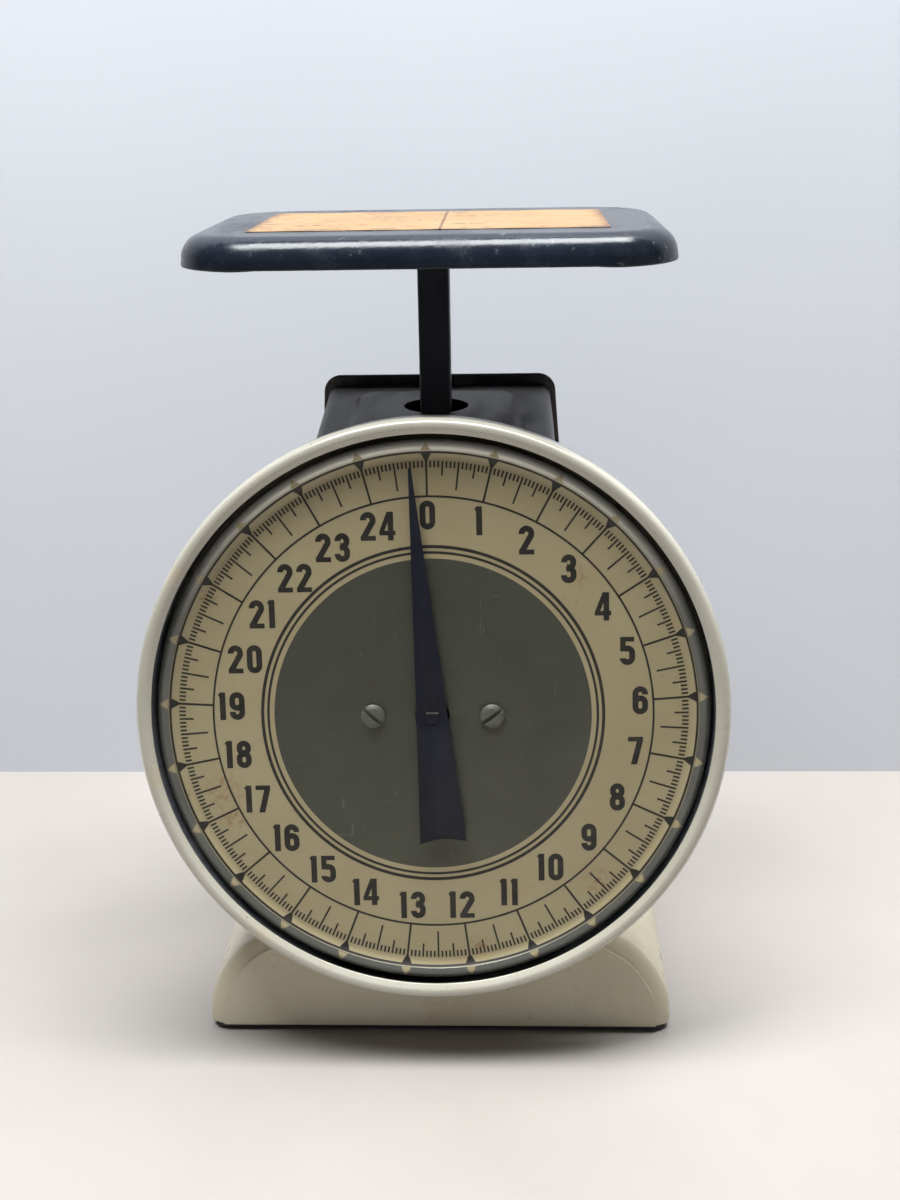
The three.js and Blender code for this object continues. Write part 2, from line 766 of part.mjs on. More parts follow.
// Platform: a pressed tray with a rolled edge, turned down all round
function platformTray() {
  const low = PLATFORM_TOP_Z - PLATFORM_SKIRT;
  const trayOf = (distance) => {
    const width = PLATFORM_WIDTH - 2 * distance;
    const depth = PLATFORM_DEPTH - 2 * distance;
    const outline = roundedRectangle(width, depth, PLATFORM_CORNER - distance, 6);
    const shape = new THREE.Shape(outline.map(([x, y]) => new THREE.Vector2(x, y)));
    const edge = PLATFORM_EDGE - distance;
    const tray = new THREE.ExtrudeGeometry(shape, {
      depth: 20,
      bevelEnabled: true,
      bevelThickness: edge,
      bevelSize: edge,
      bevelOffset: -edge,
      bevelSegments: 4,
    });
    tray.translate(0, 0, PLATFORM_TOP_Z - distance - edge - 20);
    return solidOf(tray);
  };
  let tray = trayOf(0).subtract(trayOf(SHEET)).intersect(between(low, PLATFORM_TOP_Z + 1));
  for (const [x, y] of rivetPlaces()) {
    tray = tray.subtract(barZ(1.7, 200, 250, x, y, 12));
  }
  return tray;
}

function rivetPlaces() {
  return [
    [-14, -9],
    [14, -9],
    [-14, 9],
    [14, 9],
  ];
}

function platformRivet(x, y) {
  const top = PLATFORM_TOP_Z - 0.1;
  const underside = POST_TOP_Z - 0.05;
  return barZ(1.5, underside - 0.5, top, x, y, 12).add(barZ(2.8, underside - 1.3, underside, x, y, 12));
}

function postFlange() {
  let flange = plate(roundedRectangle(38, 28, 5, 3), POST_TOP_Z, PLATFORM_TOP_Z - SHEET - 0.1);
  for (const [x, y] of rivetPlaces()) {
    flange = flange.subtract(barZ(1.7, 200, 250, x, y, 12));
  }
  const half = POST_WIDTH / 2 + 0.1;
  const collar = block([-half - 1.5, -half - 1.5, POST_TOP_Z - 4.5], [half + 1.5, half + 1.5, POST_TOP_Z + 0.5]);
  const socket = block([-half, -half, POST_TOP_Z - 10], [half, half, POST_TOP_Z + 1.2]);
  return flange.add(collar).subtract(socket);
}

function post() {
  const outline = roundedRectangle(POST_WIDTH, POST_WIDTH, 1.1, 2);
  const bore = roundedRectangle(POST_WIDTH - 2.8, POST_WIDTH - 2.8, 0.6, 2);
  return plate(outline, POST_BOTTOM_Z, POST_TOP_Z + 1).subtract(plate(bore, 0, 300));
}

function platformLabel() {
  return plate(roundedRectangle(LABEL_WIDTH, LABEL_DEPTH, 1.5, 2), PLATFORM_TOP_Z, PLATFORM_TOP_Z + LABEL_THICKNESS);
}

// Main spring: a coil with a straight leg and a bent hook at each end
function mainSpring(side) {
  const coilTop = HANGER_Z - 7;
  const coilBottom = BRACKET_ARM_Z + 9;
  const hookTop = HANGER_Z + CHASSIS_SHEET + 1.35;
  const hookBottom = BRACKET_ARM_Z - 1.35;
  const points = [new THREE.Vector3(4, 0, hookTop), new THREE.Vector3(1.7, 0, hookTop)];
  points.push(new THREE.Vector3(0.35, 0, hookTop - 0.45));
  points.push(new THREE.Vector3(0, 0, hookTop - 1.8));
  points.push(new THREE.Vector3(0, 0, coilTop + 3));
  const stepsPerTurn = 9;
  const steps = SPRING_TURNS * stepsPerTurn;
  for (let step = 0; step <= steps; step += 1) {
    const along = step / steps;
    const angle = along * SPRING_TURNS * Math.PI * 2;
    const ends = Math.min(1, (step + 2) / 6, (steps - step + 2) / 6);
    const radius = SPRING_RADIUS * ends;
    const height = coilTop + (coilBottom - coilTop) * along;
    points.push(new THREE.Vector3(radius * Math.cos(angle), radius * Math.sin(angle), height));
  }
  points.push(new THREE.Vector3(0, 0, coilBottom - 3));
  points.push(new THREE.Vector3(0, 0, hookBottom + 1.8));
  points.push(new THREE.Vector3(0.35, 0, hookBottom + 0.45));
  points.push(new THREE.Vector3(1.7, 0, hookBottom));
  points.push(new THREE.Vector3(4, 0, hookBottom));
  const path = new THREE.CatmullRomCurve3(points, false, 'centripetal');
  const wire = new THREE.Shape(ellipse(SPRING_WIRE, SPRING_WIRE, 5).map(([x, y]) => new THREE.Vector2(x, y)));
  const coil = new THREE.ExtrudeGeometry(wire, { steps: 116, bevelEnabled: false, extrudePath: path });
  coil.translate(side * SPRING_X, 0, 0);
  return solidOf(coil);
}

// Spring hanger: a yoke round the post with a threaded stud that the zero wheel lifts
function springHanger() {
  const outline = [
    [-24, -5],
    [24, -5],
    [24, 5],
    [9, 14],
    [9, 24],
    [-9, 24],
    [-9, 14],
    [-24, 5],
  ];
  let hanger = plate(outline, HANGER_Z, HANGER_Z + CHASSIS_SHEET);
  hanger = hanger.subtract(block([-7, -20, HANGER_Z - 5], [7, 7, HANGER_Z + 5]));
  const bridgeLow = HANGER_Z - 3.4;
  hanger = hanger.add(block([-9, -9.6, bridgeLow], [-7.6, 6, HANGER_Z + 0.4]));
  hanger = hanger.add(block([7.6, -9.6, bridgeLow], [9, 6, HANGER_Z + 0.4]));
  for (const side of [-1, 1]) {
    hanger = hanger.subtract(barZ(1.5, 130, 150, side * SPRING_X, 0, 12));
  }
  return hanger.add(barZ(2.5, HANGER_Z + 0.5, HANGER_Z + 28, 0, WHEEL_Y));
}

function zeroWheel() {
  const teeth = 40;
  const outline = [];
  for (let step = 0; step < teeth * 2; step += 1) {
    const angle = (step / (teeth * 2)) * Math.PI * 2;
    const radius = WHEEL_RADIUS - (step % 2) * 0.7;
    outline.push([radius * Math.cos(angle), radius * Math.sin(angle)]);
  }
  const low = HANGER_Z + 10 + CHASSIS_SHEET + 0.4;
  const high = CHASSIS_TOP_Z - CHASSIS_SHEET - 0.4;
  return plate(outline, low, high).subtract(barZ(2.65, 100, 200));
}

function rearScrew() {
  return slottedScrew(3.2, 1.7, 1.6, 3.2, 0.7);
}

const group = new THREE.Group();
const dialGroup = new THREE.Group();
dialGroup.position.set(0, DIAL_CENTRE_Y, DIAL_CENTRE_Z);
dialGroup.rotation.x = Math.PI / 2 - DIAL_TILT;
const rearGroup = new THREE.Group();
rearGroup.position.set(0, BASE_REAR_Y, BASE_BOTTOM_Z);
rearGroup.rotation.x = REAR_SLOPE - Math.PI / 2;
const pointerGroup = new THREE.Group();
pointerGroup.rotation.z = POINTER_ANGLE;
dialGroup.add(pointerGroup);
group.add(dialGroup, rearGroup);

function put(parent, name, solid, material, x = 0, y = 0, z = 0) {
  const node = nodeOf(name, solid, material);
  node.position.set(x, y, z);
  parent.add(node);
  return node;
}

put(group, 'body_shell', bodyShell(), creamPaint());
put(group, 'top_cover', topCover(), blackEnamel());
put(group, 'base_pan', basePan(), blackEnamel());
put(rearGroup, 'rear_cover', rearCover(), blackEnamel());
const footNames = ['foot_front_left', 'foot_front_right', 'foot_rear_left', 'foot_rear_right'];
footPlaces().forEach(([x, y], index) => {
  put(group, footNames[index], foot(0, 0), blackRubber(), x, y, 0);
});
const rearScrewNames = [
  'rear_screw_low_left', 'rear_screw_low_right', 'rear_screw_high_left', 'rear_screw_high_right',
];
rearScrewPlaces().forEach(([x, up], index) => {
  put(rearGroup, rearScrewNames[index], rearScrew(), zincSteel(), x, -up, 0.3 + SHEET + 0.3);
});

put(dialGroup, 'dial_housing', dialHousing(), creamPaint(), 0, RING_RISE, 0);
put(dialGroup, 'bezel', bezel(), creamPaint(), 0, RING_RISE, 0);
const lensGlass = colour(0xeef4f4, 0.05, 0);
lensGlass.transparent = true;
lensGlass.opacity = 0.2;
put(dialGroup, 'lens', lens(), lensGlass, 0, RING_RISE, 0);
put(dialGroup, 'dial_plate', dialPlate(), colour(0xcfc39a, 0.5, 0.1));
for (const [side, word] of [[-1, 'left'], [1, 'right']]) {
  put(dialGroup, `dial_spacer_${word}`, dialSpacer(), zincSteel(), side * DIAL_SCREW_X, 0, 0);
  const slotAngle = side < 0 ? -0.9 : 0.7;
  const screw = slottedScrew(3.5, 1.35, 1.8, 17.2, slotAngle);
  put(dialGroup, `dial_screw_${word}`, screw, zincSteel(), side * DIAL_SCREW_X, 0, 0.35);
}
put(dialGroup, 'shaft_bush_front', shaftBush(-29.8), brassMetal());
put(dialGroup, 'shaft_bush_rear', shaftBush(-42.4), brassMetal());
put(group, 'shaft_bridge', shaftBridge(), zincSteel());
bridgeScrewHeights().forEach((height, index) => {
  put(group, ['bridge_screw_low', 'bridge_screw_high'][index], bridgeScrew(height), zincSteel());
});

put(dialGroup, 'pointer_shaft', pointerShaft(), zincSteel());
put(dialGroup, 'pinion', pinion(), brassMetal());
put(pointerGroup, 'pointer_hub', pointerHub(), brassMetal());
put(pointerGroup, 'pointer', pointerBlade(), colour(0x14161f, 0.4, 0));

put(group, 'chassis', chassis(), zincSteel());
const chassisScrewNames = [
  'chassis_screw_front_left', 'chassis_screw_front_right', 'chassis_screw_rear_left', 'chassis_screw_rear_right',
];
chassisScrewPlaces().forEach(([x, y], index) => {
  const height = PAN_FLOOR_Z + PAN_SHEET + CHASSIS_SHEET + 0.1;
  put(group, chassisScrewNames[index], chassisScrew(), zincSteel(), x, y, height);
});
put(group, 'pivot_pin_upper', pivotPin(), zincSteel(), 0, LINK_PIVOT_Y, UPPER_PIN_Z - TRAVEL / 2);
put(group, 'pivot_pin_lower', pivotPin(), zincSteel(), 0, LINK_PIVOT_Y, LOWER_PIN_Z - TRAVEL / 2);
put(group, 'upper_link', link(), zincSteel(), 0, LINK_PIVOT_Y, UPPER_PIN_Z - TRAVEL / 2);
put(group, 'lower_link', link(), zincSteel(), 0, LINK_PIVOT_Y, LOWER_PIN_Z - TRAVEL / 2);

put(group, 'platform_tray', platformTray(), blackEnamel());
put(group, 'platform_label', platformLabel(), colour(0xd9a55f, 0.6, 0));
put(group, 'post_flange', postFlange(), zincSteel());
const rivetNames = ['rivet_front_left', 'rivet_front_right', 'rivet_rear_left', 'rivet_rear_right'];
rivetPlaces().forEach(([x, y], index) => {
  put(group, rivetNames[index], platformRivet(0, 0), zincSteel(), x, y, 0);
});
put(group, 'post', post(), blackEnamel());
put(group, 'load_bracket', loadBracket(), zincSteel());
put(group, 'rack', rack(), brassMetal());
put(group, 'rack_screw', rackScrew(), zincSteel());
put(group, 'link_pin_upper', linkPin(), zincSteel(), 0, LINK_PIN_Y, UPPER_PIN_Z);
put(group, 'link_pin_lower', linkPin(), zincSteel(), 0, LINK_PIN_Y, LOWER_PIN_Z);

put(group, 'spring_hanger', springHanger(), zincSteel());
put(group, 'main_spring_left', mainSpring(-1), zincSteel());
put(group, 'main_spring_right', mainSpring(1), zincSteel());
put(group, 'zero_wheel', zeroWheel(), blackRubber(), 0, WHEEL_Y, 0);

group.position.y = FOOTPRINT_SHIFT_Y;

export default group;
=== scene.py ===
"""Looks of a countertop spring scale with a round dial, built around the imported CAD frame."""

import json
import math
import random

import bmesh
import bpy
import numpy as np
from mathutils import Matrix, Vector
from mathutils.geometry import tessellate_polygon


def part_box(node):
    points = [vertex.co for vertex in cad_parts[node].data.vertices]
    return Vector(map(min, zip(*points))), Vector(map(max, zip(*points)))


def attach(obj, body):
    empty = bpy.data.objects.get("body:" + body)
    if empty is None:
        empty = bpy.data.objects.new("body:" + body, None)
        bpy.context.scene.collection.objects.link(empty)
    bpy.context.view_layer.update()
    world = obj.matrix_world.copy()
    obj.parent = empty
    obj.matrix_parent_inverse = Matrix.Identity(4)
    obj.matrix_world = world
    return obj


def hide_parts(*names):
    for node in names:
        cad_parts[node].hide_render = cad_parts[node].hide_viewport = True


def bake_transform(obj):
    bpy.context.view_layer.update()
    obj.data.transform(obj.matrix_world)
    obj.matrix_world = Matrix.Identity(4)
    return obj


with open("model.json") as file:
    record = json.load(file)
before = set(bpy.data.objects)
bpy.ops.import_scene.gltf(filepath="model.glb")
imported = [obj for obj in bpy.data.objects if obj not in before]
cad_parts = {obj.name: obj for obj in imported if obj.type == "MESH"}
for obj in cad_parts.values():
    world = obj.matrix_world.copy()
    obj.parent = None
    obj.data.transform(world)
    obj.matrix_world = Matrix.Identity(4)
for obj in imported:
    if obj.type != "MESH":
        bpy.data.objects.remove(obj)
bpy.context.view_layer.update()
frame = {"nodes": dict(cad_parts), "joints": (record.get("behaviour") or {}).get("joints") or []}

MM = 0.001
TAU = math.tau

# ---------------------------------------------------------------- places taken from the frame


def joint(name):
    return next(j for j in frame["joints"] if j["name"] == name)


DIAL_CENTRE = Vector(joint("pointer_turn")["pos_m"])
DIAL_IN = Vector(joint("pointer_turn")["axis"]).normalized()
DIAL_TILT = math.atan2(-DIAL_IN.z, DIAL_IN.y)
DIAL_PLACE = Matrix.Translation(DIAL_CENTRE) @ Matrix.Rotation(math.pi / 2 - DIAL_TILT, 4, "X")
PRINT_TURN = math.radians(0.66)
PRINT_PLACE = DIAL_PLACE @ Matrix.Rotation(PRINT_TURN, 4, "Z")
POINTER_TURN = math.radians(4.35)
POINTER_PLACE = DIAL_PLACE @ Matrix.Rotation(POINTER_TURN, 4, "Z")

POST_LOW, POST_HIGH = (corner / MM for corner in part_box("post"))
POST_Y = (POST_LOW.y + POST_HIGH.y) / 2
POST_PLACE = Matrix.Translation((0, POST_Y * MM, 0))
DIAL_Y = DIAL_CENTRE.y / MM - POST_Y
DIAL_Z = DIAL_CENTRE.z / MM
REAR_FOOT_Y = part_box("body_shell")[1].y / MM - POST_Y
BODY_LOW_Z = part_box("body_shell")[0].z / MM
REAR_SLOPE = math.atan(0.153)
REAR_PLACE = POST_PLACE @ Matrix.Translation((0, REAR_FOOT_Y * MM, BODY_LOW_Z * MM)) @ Matrix.Rotation(
    REAR_SLOPE - math.pi / 2, 4, "X"
)
FRONT_DEPTH = 14.0
COVER_Z = 182.2
TOP_PLACE = POST_PLACE @ Matrix.Translation((0, 0, COVER_Z * MM)) @ Matrix.Rotation(REAR_SLOPE, 4, "X")
TRAY_LOW, TRAY_HIGH = (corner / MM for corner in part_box("platform_tray"))
SHEET = 1.2
RING_RISE = 0.7
RING_PLACE = DIAL_PLACE @ Matrix.Translation((0, RING_RISE * MM, 0))

PRINT_RADIUS = 76.0
MIDDLE_CIRCLE = 0.836 * PRINT_RADIUS
HEAVY_CIRCLE = 0.648 * PRINT_RADIUS
FINE_CIRCLE = 0.626 * PRINT_RADIUS
CREAM_START = 0.603 * PRINT_RADIUS
POUNDS = 25
OUNCES = 16 * POUNDS
DIAL_SCREW_X = 17.2
DIAL_SCREW_HOLE = 2.2
DIAL_SCREW_LENGTH = 17.2


def front_y(height, depth=FRONT_DEPTH):
    """Y, from the post, of a sheet parallel to the dial."""
    return DIAL_Y + (height - DIAL_Z) * math.tan(DIAL_TILT) + depth / math.cos(DIAL_TILT)


def rear_y(height):
    return REAR_FOOT_Y - (height - BODY_LOW_Z) * math.tan(REAR_SLOPE)


# ---------------------------------------------------------------- materials


class Look:
    """A procedural material built around one Principled shader."""

    def __init__(self, name, colour=(0.5, 0.5, 0.5), roughness=0.5, metallic=0.0):
        self.material = bpy.data.materials.new(name)
        self.material.use_nodes = True
        tree = self.material.node_tree
        self.nodes, self.links = tree.nodes, tree.links
        self.shader = self.nodes["Principled BSDF"]
        self.coords = self.nodes.new("ShaderNodeTexCoord").outputs["Object"]
        self.set("Base Color", (*colour, 1))
        self.set("Roughness", roughness)
        self.set("Metallic", metallic)

    def set(self, socket, value):
        self.feed(self.shader.inputs[socket], value)

    def feed(self, target, value):
        if isinstance(value, bpy.types.NodeSocket):
            self.links.new(value, target)
        else:
            target.default_value = value

    def stretched(self, scale):
        node = self.nodes.new("ShaderNodeMapping")
        node.inputs["Scale"].default_value = scale
        self.links.new(self.coords, node.inputs["Vector"])
        return node.outputs["Vector"]

    def noise(self, scale, detail=4, rough=0.55, stretch=None, distortion=0.0):
        node = self.nodes.new("ShaderNodeTexNoise")
        node.inputs["Scale"].default_value = scale
        node.inputs["Detail"].default_value = detail
        node.inputs["Roughness"].default_value = rough
        node.inputs["Distortion"].default_value = distortion
        self.links.new(self.stretched(stretch) if stretch else self.coords, node.inputs["Vector"])
        return node.outputs["Fac"]

    def ramp(self, value, low, high, out_low=0.0, out_high=1.0):
        node = self.nodes.new("ShaderNodeMapRange")
        node.clamp = True
        self.feed(node.inputs["Value"], value)
        limits = {"From Min": low, "From Max": high, "To Min": out_low, "To Max": out_high}
        for socket, number in limits.items():
            node.inputs[socket].default_value = number
        return node.outputs["Result"]

    def calculate(self, operation, first, second=0.0):
        node = self.nodes.new("ShaderNodeMath")
        node.operation = operation
        self.feed(node.inputs[0], first)
        self.feed(node.inputs[1], second)
        return node.outputs[0]

    def times(self, first, second):
        return self.calculate("MULTIPLY", first, second)

    def plus(self, first, second):
        return self.calculate("ADD", first, second)

    def axis(self, name):
        """One coordinate of the object's own frame, in metres."""
        node = self.nodes.new("ShaderNodeSeparateXYZ")
        self.links.new(self.coords, node.inputs[0])
        return node.outputs[name]

    def mix(self, factor, first, second):
        node = self.nodes.new("ShaderNodeMix")
        node.data_type = "RGBA"
        self.feed(node.inputs[0], factor)
        for index, value in ((6, first), (7, second)):
            value = (*value, 1) if isinstance(value, tuple) and len(value) == 3 else value
            self.feed(node.inputs[index], value)
        return node.outputs[2]

    def crevice(self, distance, samples=6):
        """1 in a tight corner, 0 on an open face."""
        node = self.nodes.new("ShaderNodeAmbientOcclusion")
        node.samples = samples
        node.inputs["Distance"].default_value = distance
        return self.ramp(node.outputs["AO"], 0.35, 0.95, 1.0, 0.0)

    def near(self, point, reach):
        """1 at a point of the object's own frame, falling to 0 at a distance."""
        node = self.nodes.new("ShaderNodeVectorMath")
        node.operation = "DISTANCE"
        self.links.new(self.coords, node.inputs[0])
        node.inputs[1].default_value = point
        return self.ramp(node.outputs["Value"], 0.0, reach, 1.0, 0.0)

    def bump(self, height, strength, distance):
        node = self.nodes.new("ShaderNodeBump")
        node.inputs["Strength"].default_value = strength
        node.inputs["Distance"].default_value = distance
        self.links.new(height, node.inputs["Height"])
        if self.shader.inputs["Normal"].is_linked:
            self.links.new(self.shader.inputs["Normal"].links[0].from_socket, node.inputs["Normal"])
        self.links.new(node.outputs["Normal"], self.shader.inputs["Normal"])

    def uneven_gloss(self, scale, detail, low, high, top=0.7):
        """Roughness that wanders between two values."""
        self.set("Roughness", self.ramp(self.noise(scale, detail), 0.3, top, low, high))

    def layered(self, share, first, second):
        """Shows a mix of two shaders on the surface."""
        node = self.nodes.new("ShaderNodeMixShader")
        self.links.new(share, node.inputs[0])
        self.links.new(first.outputs[0], node.inputs[1])
        self.links.new(second.outputs[0], node.inputs[2])
        output = next(n for n in self.nodes if n.type == "OUTPUT_MATERIAL")
        self.links.new(node.outputs[0], output.inputs["Surface"])


def shade(colour, share):
    return tuple(c * share for c in colour)


def cream_enamel(name, light, deep, coat):
    look = Look(name)
    patches = look.ramp(look.noise(22, 3), 0.35, 0.7)
    colour = look.mix(patches, light, deep)
    stains = look.times(look.ramp(look.noise(55, 5, 0.65), 0.56, 0.72), 0.35)
    colour = look.mix(stains, colour, (0.50, 0.36, 0.17))
    # Painted shade and grime: darker and browner in tight corners, found by ambient occlusion and broken up
    # by noise
    corner_shade_and_grime = look.times(look.crevice(0.005), look.ramp(look.noise(160, 4), 0.3, 0.75))
    colour = look.mix(look.times(corner_shade_and_grime, 0.55), colour, (0.16, 0.12, 0.07))
    fleck = look.ramp(look.noise(700, 2), 0.715, 0.735)
    where = look.ramp(look.noise(45, 2), 0.54, 0.62)
    flecks = look.times(fleck, where)
    colour = look.mix(flecks, colour, (0.12, 0.05, 0.02))
    look.set("Base Color", colour)
    look.uneven_gloss(90, 4, 0.24, 0.42, 0.75)
    look.set("Coat Weight", coat)
    look.set("Coat Roughness", 0.2)
    look.bump(look.noise(650, 2), 0.12, 0.0004)
    look.bump(look.noise(40, 2), 0.25, 0.0012)
    return look.material


def black_enamel(name, colour, dust, scuff_amount, roughness, film_amount=0.3, specular=0.5):
    look = Look(name)
    base = look.mix(look.ramp(look.noise(30, 4), 0.35, 0.7), colour, shade(colour, 1.6))
    film = look.ramp(look.noise(60, 6, 0.65, (1.0, 0.35, 1.0)), 0.50, 0.66)
    base = look.mix(look.times(film, film_amount), base, dust)
    fine = look.ramp(look.noise(420, 5, 0.7), 0.60, 0.68)
    where = look.ramp(look.noise(28, 3), 0.5, 0.68)
    scuffs = look.times(look.times(fine, where), scuff_amount)
    base = look.mix(scuffs, base, (0.26, 0.27, 0.29))
    look.set("Base Color", base)
    rough = look.ramp(film, 0.0, 1.0, roughness, roughness + 0.18)
    look.set("Roughness", look.plus(rough, look.times(scuffs, 0.3)))
    look.set("Specular IOR Level", specular)
    look.bump(look.noise(900, 2), 0.14, 0.0003)
    look.bump(look.noise(70, 3), 0.18, 0.0006)
    return look.material


# Stretch of the pattern along each axis, and how fine it is
SCRATCHES = (((1.0, 0.06, 1.0), 900), ((0.09, 1.0, 1.0), 800), ((0.8, 0.25, 1.0), 1000))


def dial_metal(name, colour, roughness, metallic, grain_amount=0.18, scratched=0.0, painted_top_highlight=0.0):
    look = Look(name, metallic=metallic)
    tone = look.mix(look.ramp(look.noise(45, 5, 0.6), 0.35, 0.72), colour, shade(colour, 0.82))
    grain = look.ramp(look.noise(2200, 2), 0.3, 0.7)
    tone = look.mix(look.times(grain, grain_amount), tone, shade(colour, 1.6))
    spots = look.times(look.ramp(look.noise(480, 3), 0.69, 0.73), look.ramp(look.noise(60, 2), 0.5, 0.6))
    tone = look.mix(look.times(spots, 0.8), tone, (0.10, 0.055, 0.03))
    if scratched:
        for stretch, scale in SCRATCHES:
            line = look.ramp(look.noise(scale, 1, 0.5, stretch, 0.6), 0.735, 0.755)
            spread = look.ramp(look.noise(70 + scale / 40, 3), 0.52, 0.62)
            scratch = look.times(look.times(line, spread), scratched)
            tone = look.mix(scratch, tone, (0.42, 0.42, 0.38))
    if painted_top_highlight:
        # Painted highlight: the upper part of the rim turns pale cream, standing in for the light it catches
        # from above
        upper = look.ramp(look.axis("Y"), 0.030, 0.074, 0.0, painted_top_highlight)
        tone = look.mix(upper, tone, (0.95, 0.93, 0.82))
    look.set("Base Color", tone)
    look.uneven_gloss(160, 3, roughness, roughness + 0.1)
    look.bump(look.noise(2200, 2), 0.10, 0.0002)
    return look.material


# Place on the dial and reach, in millimetres
RUST_SPOTS = ((-61, -22, 7), (-59, -30, 5), (47, -50, 5), (42, 40, 4), (-64, 36, 4), (12, -70, 4))


def dial_cream():
    look = Look("dial_cream")
    tone = look.mix(look.ramp(look.noise(26, 4, 0.6), 0.35, 0.7), (0.39, 0.335, 0.195), (0.355, 0.295, 0.163))
    blot = look.times(look.ramp(look.noise(120, 5, 0.65), 0.58, 0.70), 0.35)
    tone = look.mix(blot, tone, (0.42, 0.30, 0.12))
    rust = None
    for x, y, reach in RUST_SPOTS:
        spot = look.near((x * MM, y * MM, 0), reach * MM)
        rust = spot if rust is None else look.calculate("MAXIMUM", rust, spot)
    rust = look.times(rust, look.ramp(look.noise(520, 5, 0.7), 0.48, 0.62))
    tone = look.mix(look.times(rust, 0.85), tone, (0.26, 0.10, 0.035))
    fleck = look.times(look.ramp(look.noise(900, 2), 0.72, 0.74), look.ramp(look.noise(50, 2), 0.5, 0.6))
    tone = look.mix(fleck, tone, (0.15, 0.09, 0.05))
    look.set("Base Color", tone)
    look.uneven_gloss(140, 3, 0.38, 0.52)
    look.bump(look.noise(1500, 2), 0.08, 0.0002)
    return look.material


def printed_ink():
    look = Look("dial_ink")
    tone = look.mix(look.ramp(look.noise(300, 4), 0.35, 0.75), (0.010, 0.009, 0.007), (0.028, 0.023, 0.015))
    look.set("Base Color", tone)
    look.uneven_gloss(220, 2, 0.42, 0.6)
    return look.material


def pointer_paint():
    look = Look("pointer_paint")
    tone = look.mix(look.ramp(look.noise(70, 4), 0.35, 0.7), (0.0055, 0.0065, 0.014), (0.010, 0.012, 0.022))
    rub = look.times(look.ramp(look.noise(800, 4, 0.7), 0.66, 0.72), look.ramp(look.noise(60), 0.5, 0.62))
    tone = look.mix(look.times(rub, 0.5), tone, (0.22, 0.22, 0.22))
    look.set("Base Color", tone)
    look.uneven_gloss(180, 3, 0.42, 0.56)
    look.set("Specular IOR Level", 0.28)
    look.bump(look.noise(1200, 2), 0.1, 0.0002)
    return look.material


def plain_metal(name, colour, roughness, grain=(1.0, 1.0, 9.0)):
    look = Look(name, metallic=1.0)
    brushed = look.noise(260, 4, 0.6, grain)
    tone = look.mix(look.ramp(brushed, 0.3, 0.7), colour, shade(colour, 0.72))
    tarnish = look.ramp(look.noise(75, 5, 0.65), 0.5, 0.75)
    tone = look.mix(look.times(tarnish, 0.45), tone, (0.12, 0.09, 0.06))
    look.set("Base Color", tone)
    rough = look.ramp(brushed, 0.3, 0.7, roughness, roughness + 0.14)
    look.set("Roughness", look.plus(rough, look.times(tarnish, 0.15)))
    look.bump(brushed, 0.12, 0.0003)
    return look.material


def matt_black(name, colour, roughness):
    look = Look(name)
    tone = look.mix(look.ramp(look.noise(130, 4), 0.35, 0.7), colour, shade(colour, 2.0))
    look.set("Base Color", tone)
    look.uneven_gloss(300, 3, roughness, roughness + 0.15)
    look.bump(look.noise(1100, 3), 0.25, 0.0004)
    return look.material


def label_paper(fold):
    look = Look("label_paper")
    tone = look.mix(look.ramp(look.noise(24, 5, 0.6), 0.35, 0.7), (0.285, 0.18, 0.080), (0.245, 0.145, 0.060))
    fibres = look.ramp(look.noise(900, 3, 0.6, (1, 3, 1)), 0.35, 0.7)
    tone = look.mix(look.times(fibres, 0.14), tone, (0.35, 0.23, 0.115))
    stain = look.ramp(look.noise(60, 6, 0.68), 0.56, 0.68)
    tone = look.mix(look.times(stain, 0.5), tone, (0.20, 0.09, 0.035))
    across = look.axis("X")
    # Rows of worn print: short dashes that spell nothing
    rows = look.nodes.new("ShaderNodeTexWave")
    rows.wave_type, rows.bands_direction = "BANDS", "Y"
    rows.inputs["Scale"].default_value = 46
    look.links.new(look.coords, rows.inputs["Vector"])
    lines = look.ramp(rows.outputs["Fac"], 0.70, 0.84)
    dashes = look.ramp(look.noise(360, 2, 0.5, (1.0, 0.25, 1.0)), 0.48, 0.54)
    kept = look.ramp(look.noise(38, 2, 0.5, (1.0, 2.2, 1.0)), 0.49, 0.56)
    marks = look.times(look.times(lines, dashes), kept)
    tone = look.mix(look.times(marks, 0.8), tone, (0.06, 0.028, 0.02))
    from_fold = look.calculate("ABSOLUTE", look.calculate("SUBTRACT", across, fold))
    ragged = look.ramp(look.noise(300), 0.3, 0.7, -0.0001, 0.0001)
    crease = look.ramp(look.plus(from_fold, ragged), 0.0002, 0.0005, 1.0, 0.0)
    tone = look.mix(look.times(crease, 0.85), tone, (0.07, 0.035, 0.02))
    from_middle = look.calculate("ABSOLUTE", across)
    ragged = look.ramp(look.noise(90, 5, 0.7), 0.3, 0.7, -0.002, 0.002)
    margin = look.ramp(look.plus(from_middle, ragged), 0.0480, 0.0510)
    tone = look.mix(look.times(margin, 0.8), tone, (0.11, 0.05, 0.025))
    look.set("Base Color", tone)
    look.uneven_gloss(90, 4, 0.45, 0.65)
    look.bump(look.noise(500, 4), 0.12, 0.0003)
    return look.material


def gap_paint():
    """Inside of the dial's rim, with light and shade painted in: painted shade makes it nearly black above
    and below, painted light makes it greyer where the sides catch light.
    """
    look = Look("gap_paint")
    # Painted light and shade: grey-blue towards the sides, near-black above and below
    lit_sides = look.ramp(look.calculate("ABSOLUTE", look.axis("X")), 0.030, 0.080)
    tone = look.mix(lit_sides, (0.012, 0.012, 0.011), (0.20, 0.22, 0.25))
    tone = look.mix(look.ramp(look.noise(180, 4), 0.45, 0.7, 0.0, 0.5), tone, (0.03, 0.03, 0.03))
    look.set("Base Color", tone)
    look.uneven_gloss(90, 4, 0.3, 0.45)
    return look.material


